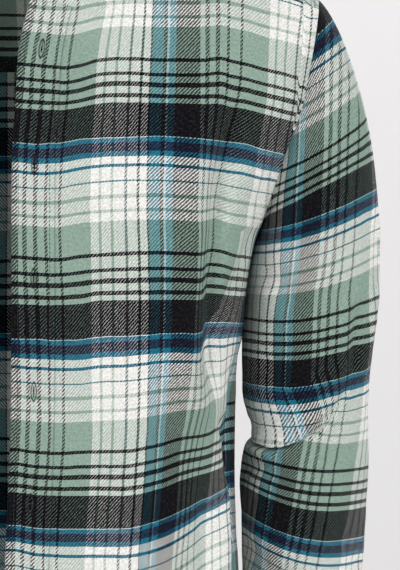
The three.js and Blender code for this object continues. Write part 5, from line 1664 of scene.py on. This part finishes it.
def button_mesh():
    profile = [(0.02, -1.3), (4.6, -1.3), (5.3, -1.05), (5.7, -0.5), (5.75, 0.1), (5.6, 0.75), (5.2, 1.2),
               (4.75, 1.3), (4.3, 1.15), (3.95, 0.8), (3.6, 0.62), (2.4, 0.5), (0.02, 0.48)]
    turns = 48
    points = [(r * math.cos(2 * math.pi * k / turns), r * math.sin(2 * math.pi * k / turns), h)
              for r, h in profile for k in range(turns)]
    faces = [(i * turns + k, i * turns + (k + 1) % turns, (i + 1) * turns + (k + 1) % turns, (i + 1) * turns + k)
             for i in range(len(profile) - 1) for k in range(turns)]
    faces += [tuple(range(turns))[::-1], tuple(range((len(profile) - 1) * turns, len(profile) * turns))]
    shape = bpy.data.meshes.new("button")
    shape.from_pydata([tuple(c * MM for c in p) for p in points], [], faces)
    round_form = bmesh.new()
    round_form.from_mesh(shape)
    bmesh.ops.recalc_face_normals(round_form, faces=round_form.faces)
    round_form.to_mesh(shape)
    round_form.free()
    blank = bpy.data.objects.new("button_blank", shape)
    bpy.context.scene.collection.objects.link(blank)
    drills = []
    for a in range(4):
        turn = math.radians(45 + 90 * a)
        drill = bmesh.new()
        bmesh.ops.create_cone(drill, cap_ends=True, segments=18, radius1=HOLE_RADIUS * MM, radius2=HOLE_RADIUS * MM,
                              depth=6 * MM, matrix=Matrix.Translation((HOLE_OUT * math.cos(turn) * MM,
                                                                       HOLE_OUT * math.sin(turn) * MM, 0)))
        bit = bpy.data.meshes.new("drill")
        drill.to_mesh(bit)
        drill.free()
        tool = bpy.data.objects.new("drill", bit)
        bpy.context.scene.collection.objects.link(tool)
        cut = blank.modifiers.new("hole", "BOOLEAN")
        cut.operation = "DIFFERENCE"
        cut.object = tool
        drills.append(tool)
    ready = bpy.context.evaluated_depsgraph_get()
    drilled = bpy.data.meshes.new_from_object(blank.evaluated_get(ready))
    for thing in drills + [blank]:
        bpy.data.objects.remove(thing)
    return drilled


BUTTON = button_mesh()
print("a button has", len(BUTTON.polygons), "faces")


# %% Sew the buttons on
def nearest_facing(grid, place):
    flat = grid.reshape(-1, 3)
    k = int(np.argmin(((flat - place) ** 2).sum(axis=1)))
    return grid_normals(grid).reshape(-1, 3)[k], flat[k]


def place_button(node, grid, number):
    low, high = (np.array(corner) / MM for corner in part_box(node))
    centre = (low + high) / 2
    facing, _ = nearest_facing(grid, centre)
    up = unit(np.array([0.03 * number, 0.0, 1.0]) - facing * facing[2])
    side = np.cross(up, facing)
    frame_of = np.stack([side, up, facing], axis=1)
    turn = math.radians(13 * number)
    spin = np.array([[math.cos(turn), -math.sin(turn), 0], [math.sin(turn), math.cos(turn), 0], [0, 0, 1]])
    frame_of = frame_of @ spin
    shape = BUTTON.copy()
    shape.name = node + "_resin"
    at = np.empty(len(shape.vertices) * 3, np.float32)
    shape.vertices.foreach_get("co", at)
    at = at.reshape(-1, 3) @ frame_of.T + centre * MM
    shape.vertices.foreach_set("co", at.astype(np.float32).ravel())
    shape.materials.clear()
    shape.materials.append(RESIN)
    shape.shade_auto_smooth(angle=math.radians(35)) if hasattr(shape, "shade_auto_smooth") else shape.shade_smooth()
    piece = bpy.data.objects.new(node + "_resin", shape)
    bpy.context.scene.collection.objects.link(piece)
    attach(piece, "root")
    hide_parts(node)
    bars = []
    for y in (-1, 1):
        for shift in (-0.22, 0.22):
            bar = [(-1.1, y * 1.1 + shift, -2.0), (-1.1, y * 1.1 + shift, 0.3), (-0.75, y * 1.1 + shift, 0.85),
                   (0.75, y * 1.1 + shift, 0.85), (1.1, y * 1.1 + shift, 0.3), (1.1, y * 1.1 + shift, -2.0)]
            bars.append(np.array(bar) @ frame_of.T + centre)
    return bars


bars = []
front_nodes = ["front_button_%d" % k for k in range(1, 8)]
for k, node in enumerate(front_nodes):
    bars += place_button(node, right_band, k + 1)
bars += place_button("collar_button", stand_grid, 2)
bars += place_button("left_cuff_button", cuff_points, 3)
bars += place_button("right_cuff_button", (cuff_points * MIRROR)[:, ::-1], 4)
button_thread = sewn("button_thread", bars, LONG_THREAD, {"Thickness": 0.00026}, DARK_THREAD)

# %% [markdown]
# ## Handing over
# Each fine piece takes the place of its plain solid and rides with the shirt's one body. The size of
# the cloth each panel was cut from is printed as the panel is made. A sleeve's and a cuff's is all round.

# %% Names and places
DRESSED = {
    "left_front": left_front, "right_front": right_front, "back": back, "yoke": yoke,
    "left_placket": left_placket, "right_placket": right_placket, "collar_stand": collar_stand,
    "collar_leaf": collar_leaf, "left_sleeve": left_sleeve, "right_sleeve": right_sleeve,
    "left_cuff": left_cuff, "right_cuff": right_cuff, "left_gauntlet": left_strip, "right_gauntlet": right_strip}
for node, piece in DRESSED.items():
    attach(piece, "root")
    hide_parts(node)
for piece in (topstitch, hole_thread, button_thread):
    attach(piece, "root")
print(len(DRESSED), "pieces take the places of their plain solids")

# %% Finish
for thing in list(bpy.data.objects):
    if thing.name in ("Cube", "Light", "Camera"):
        bpy.data.objects.remove(thing)
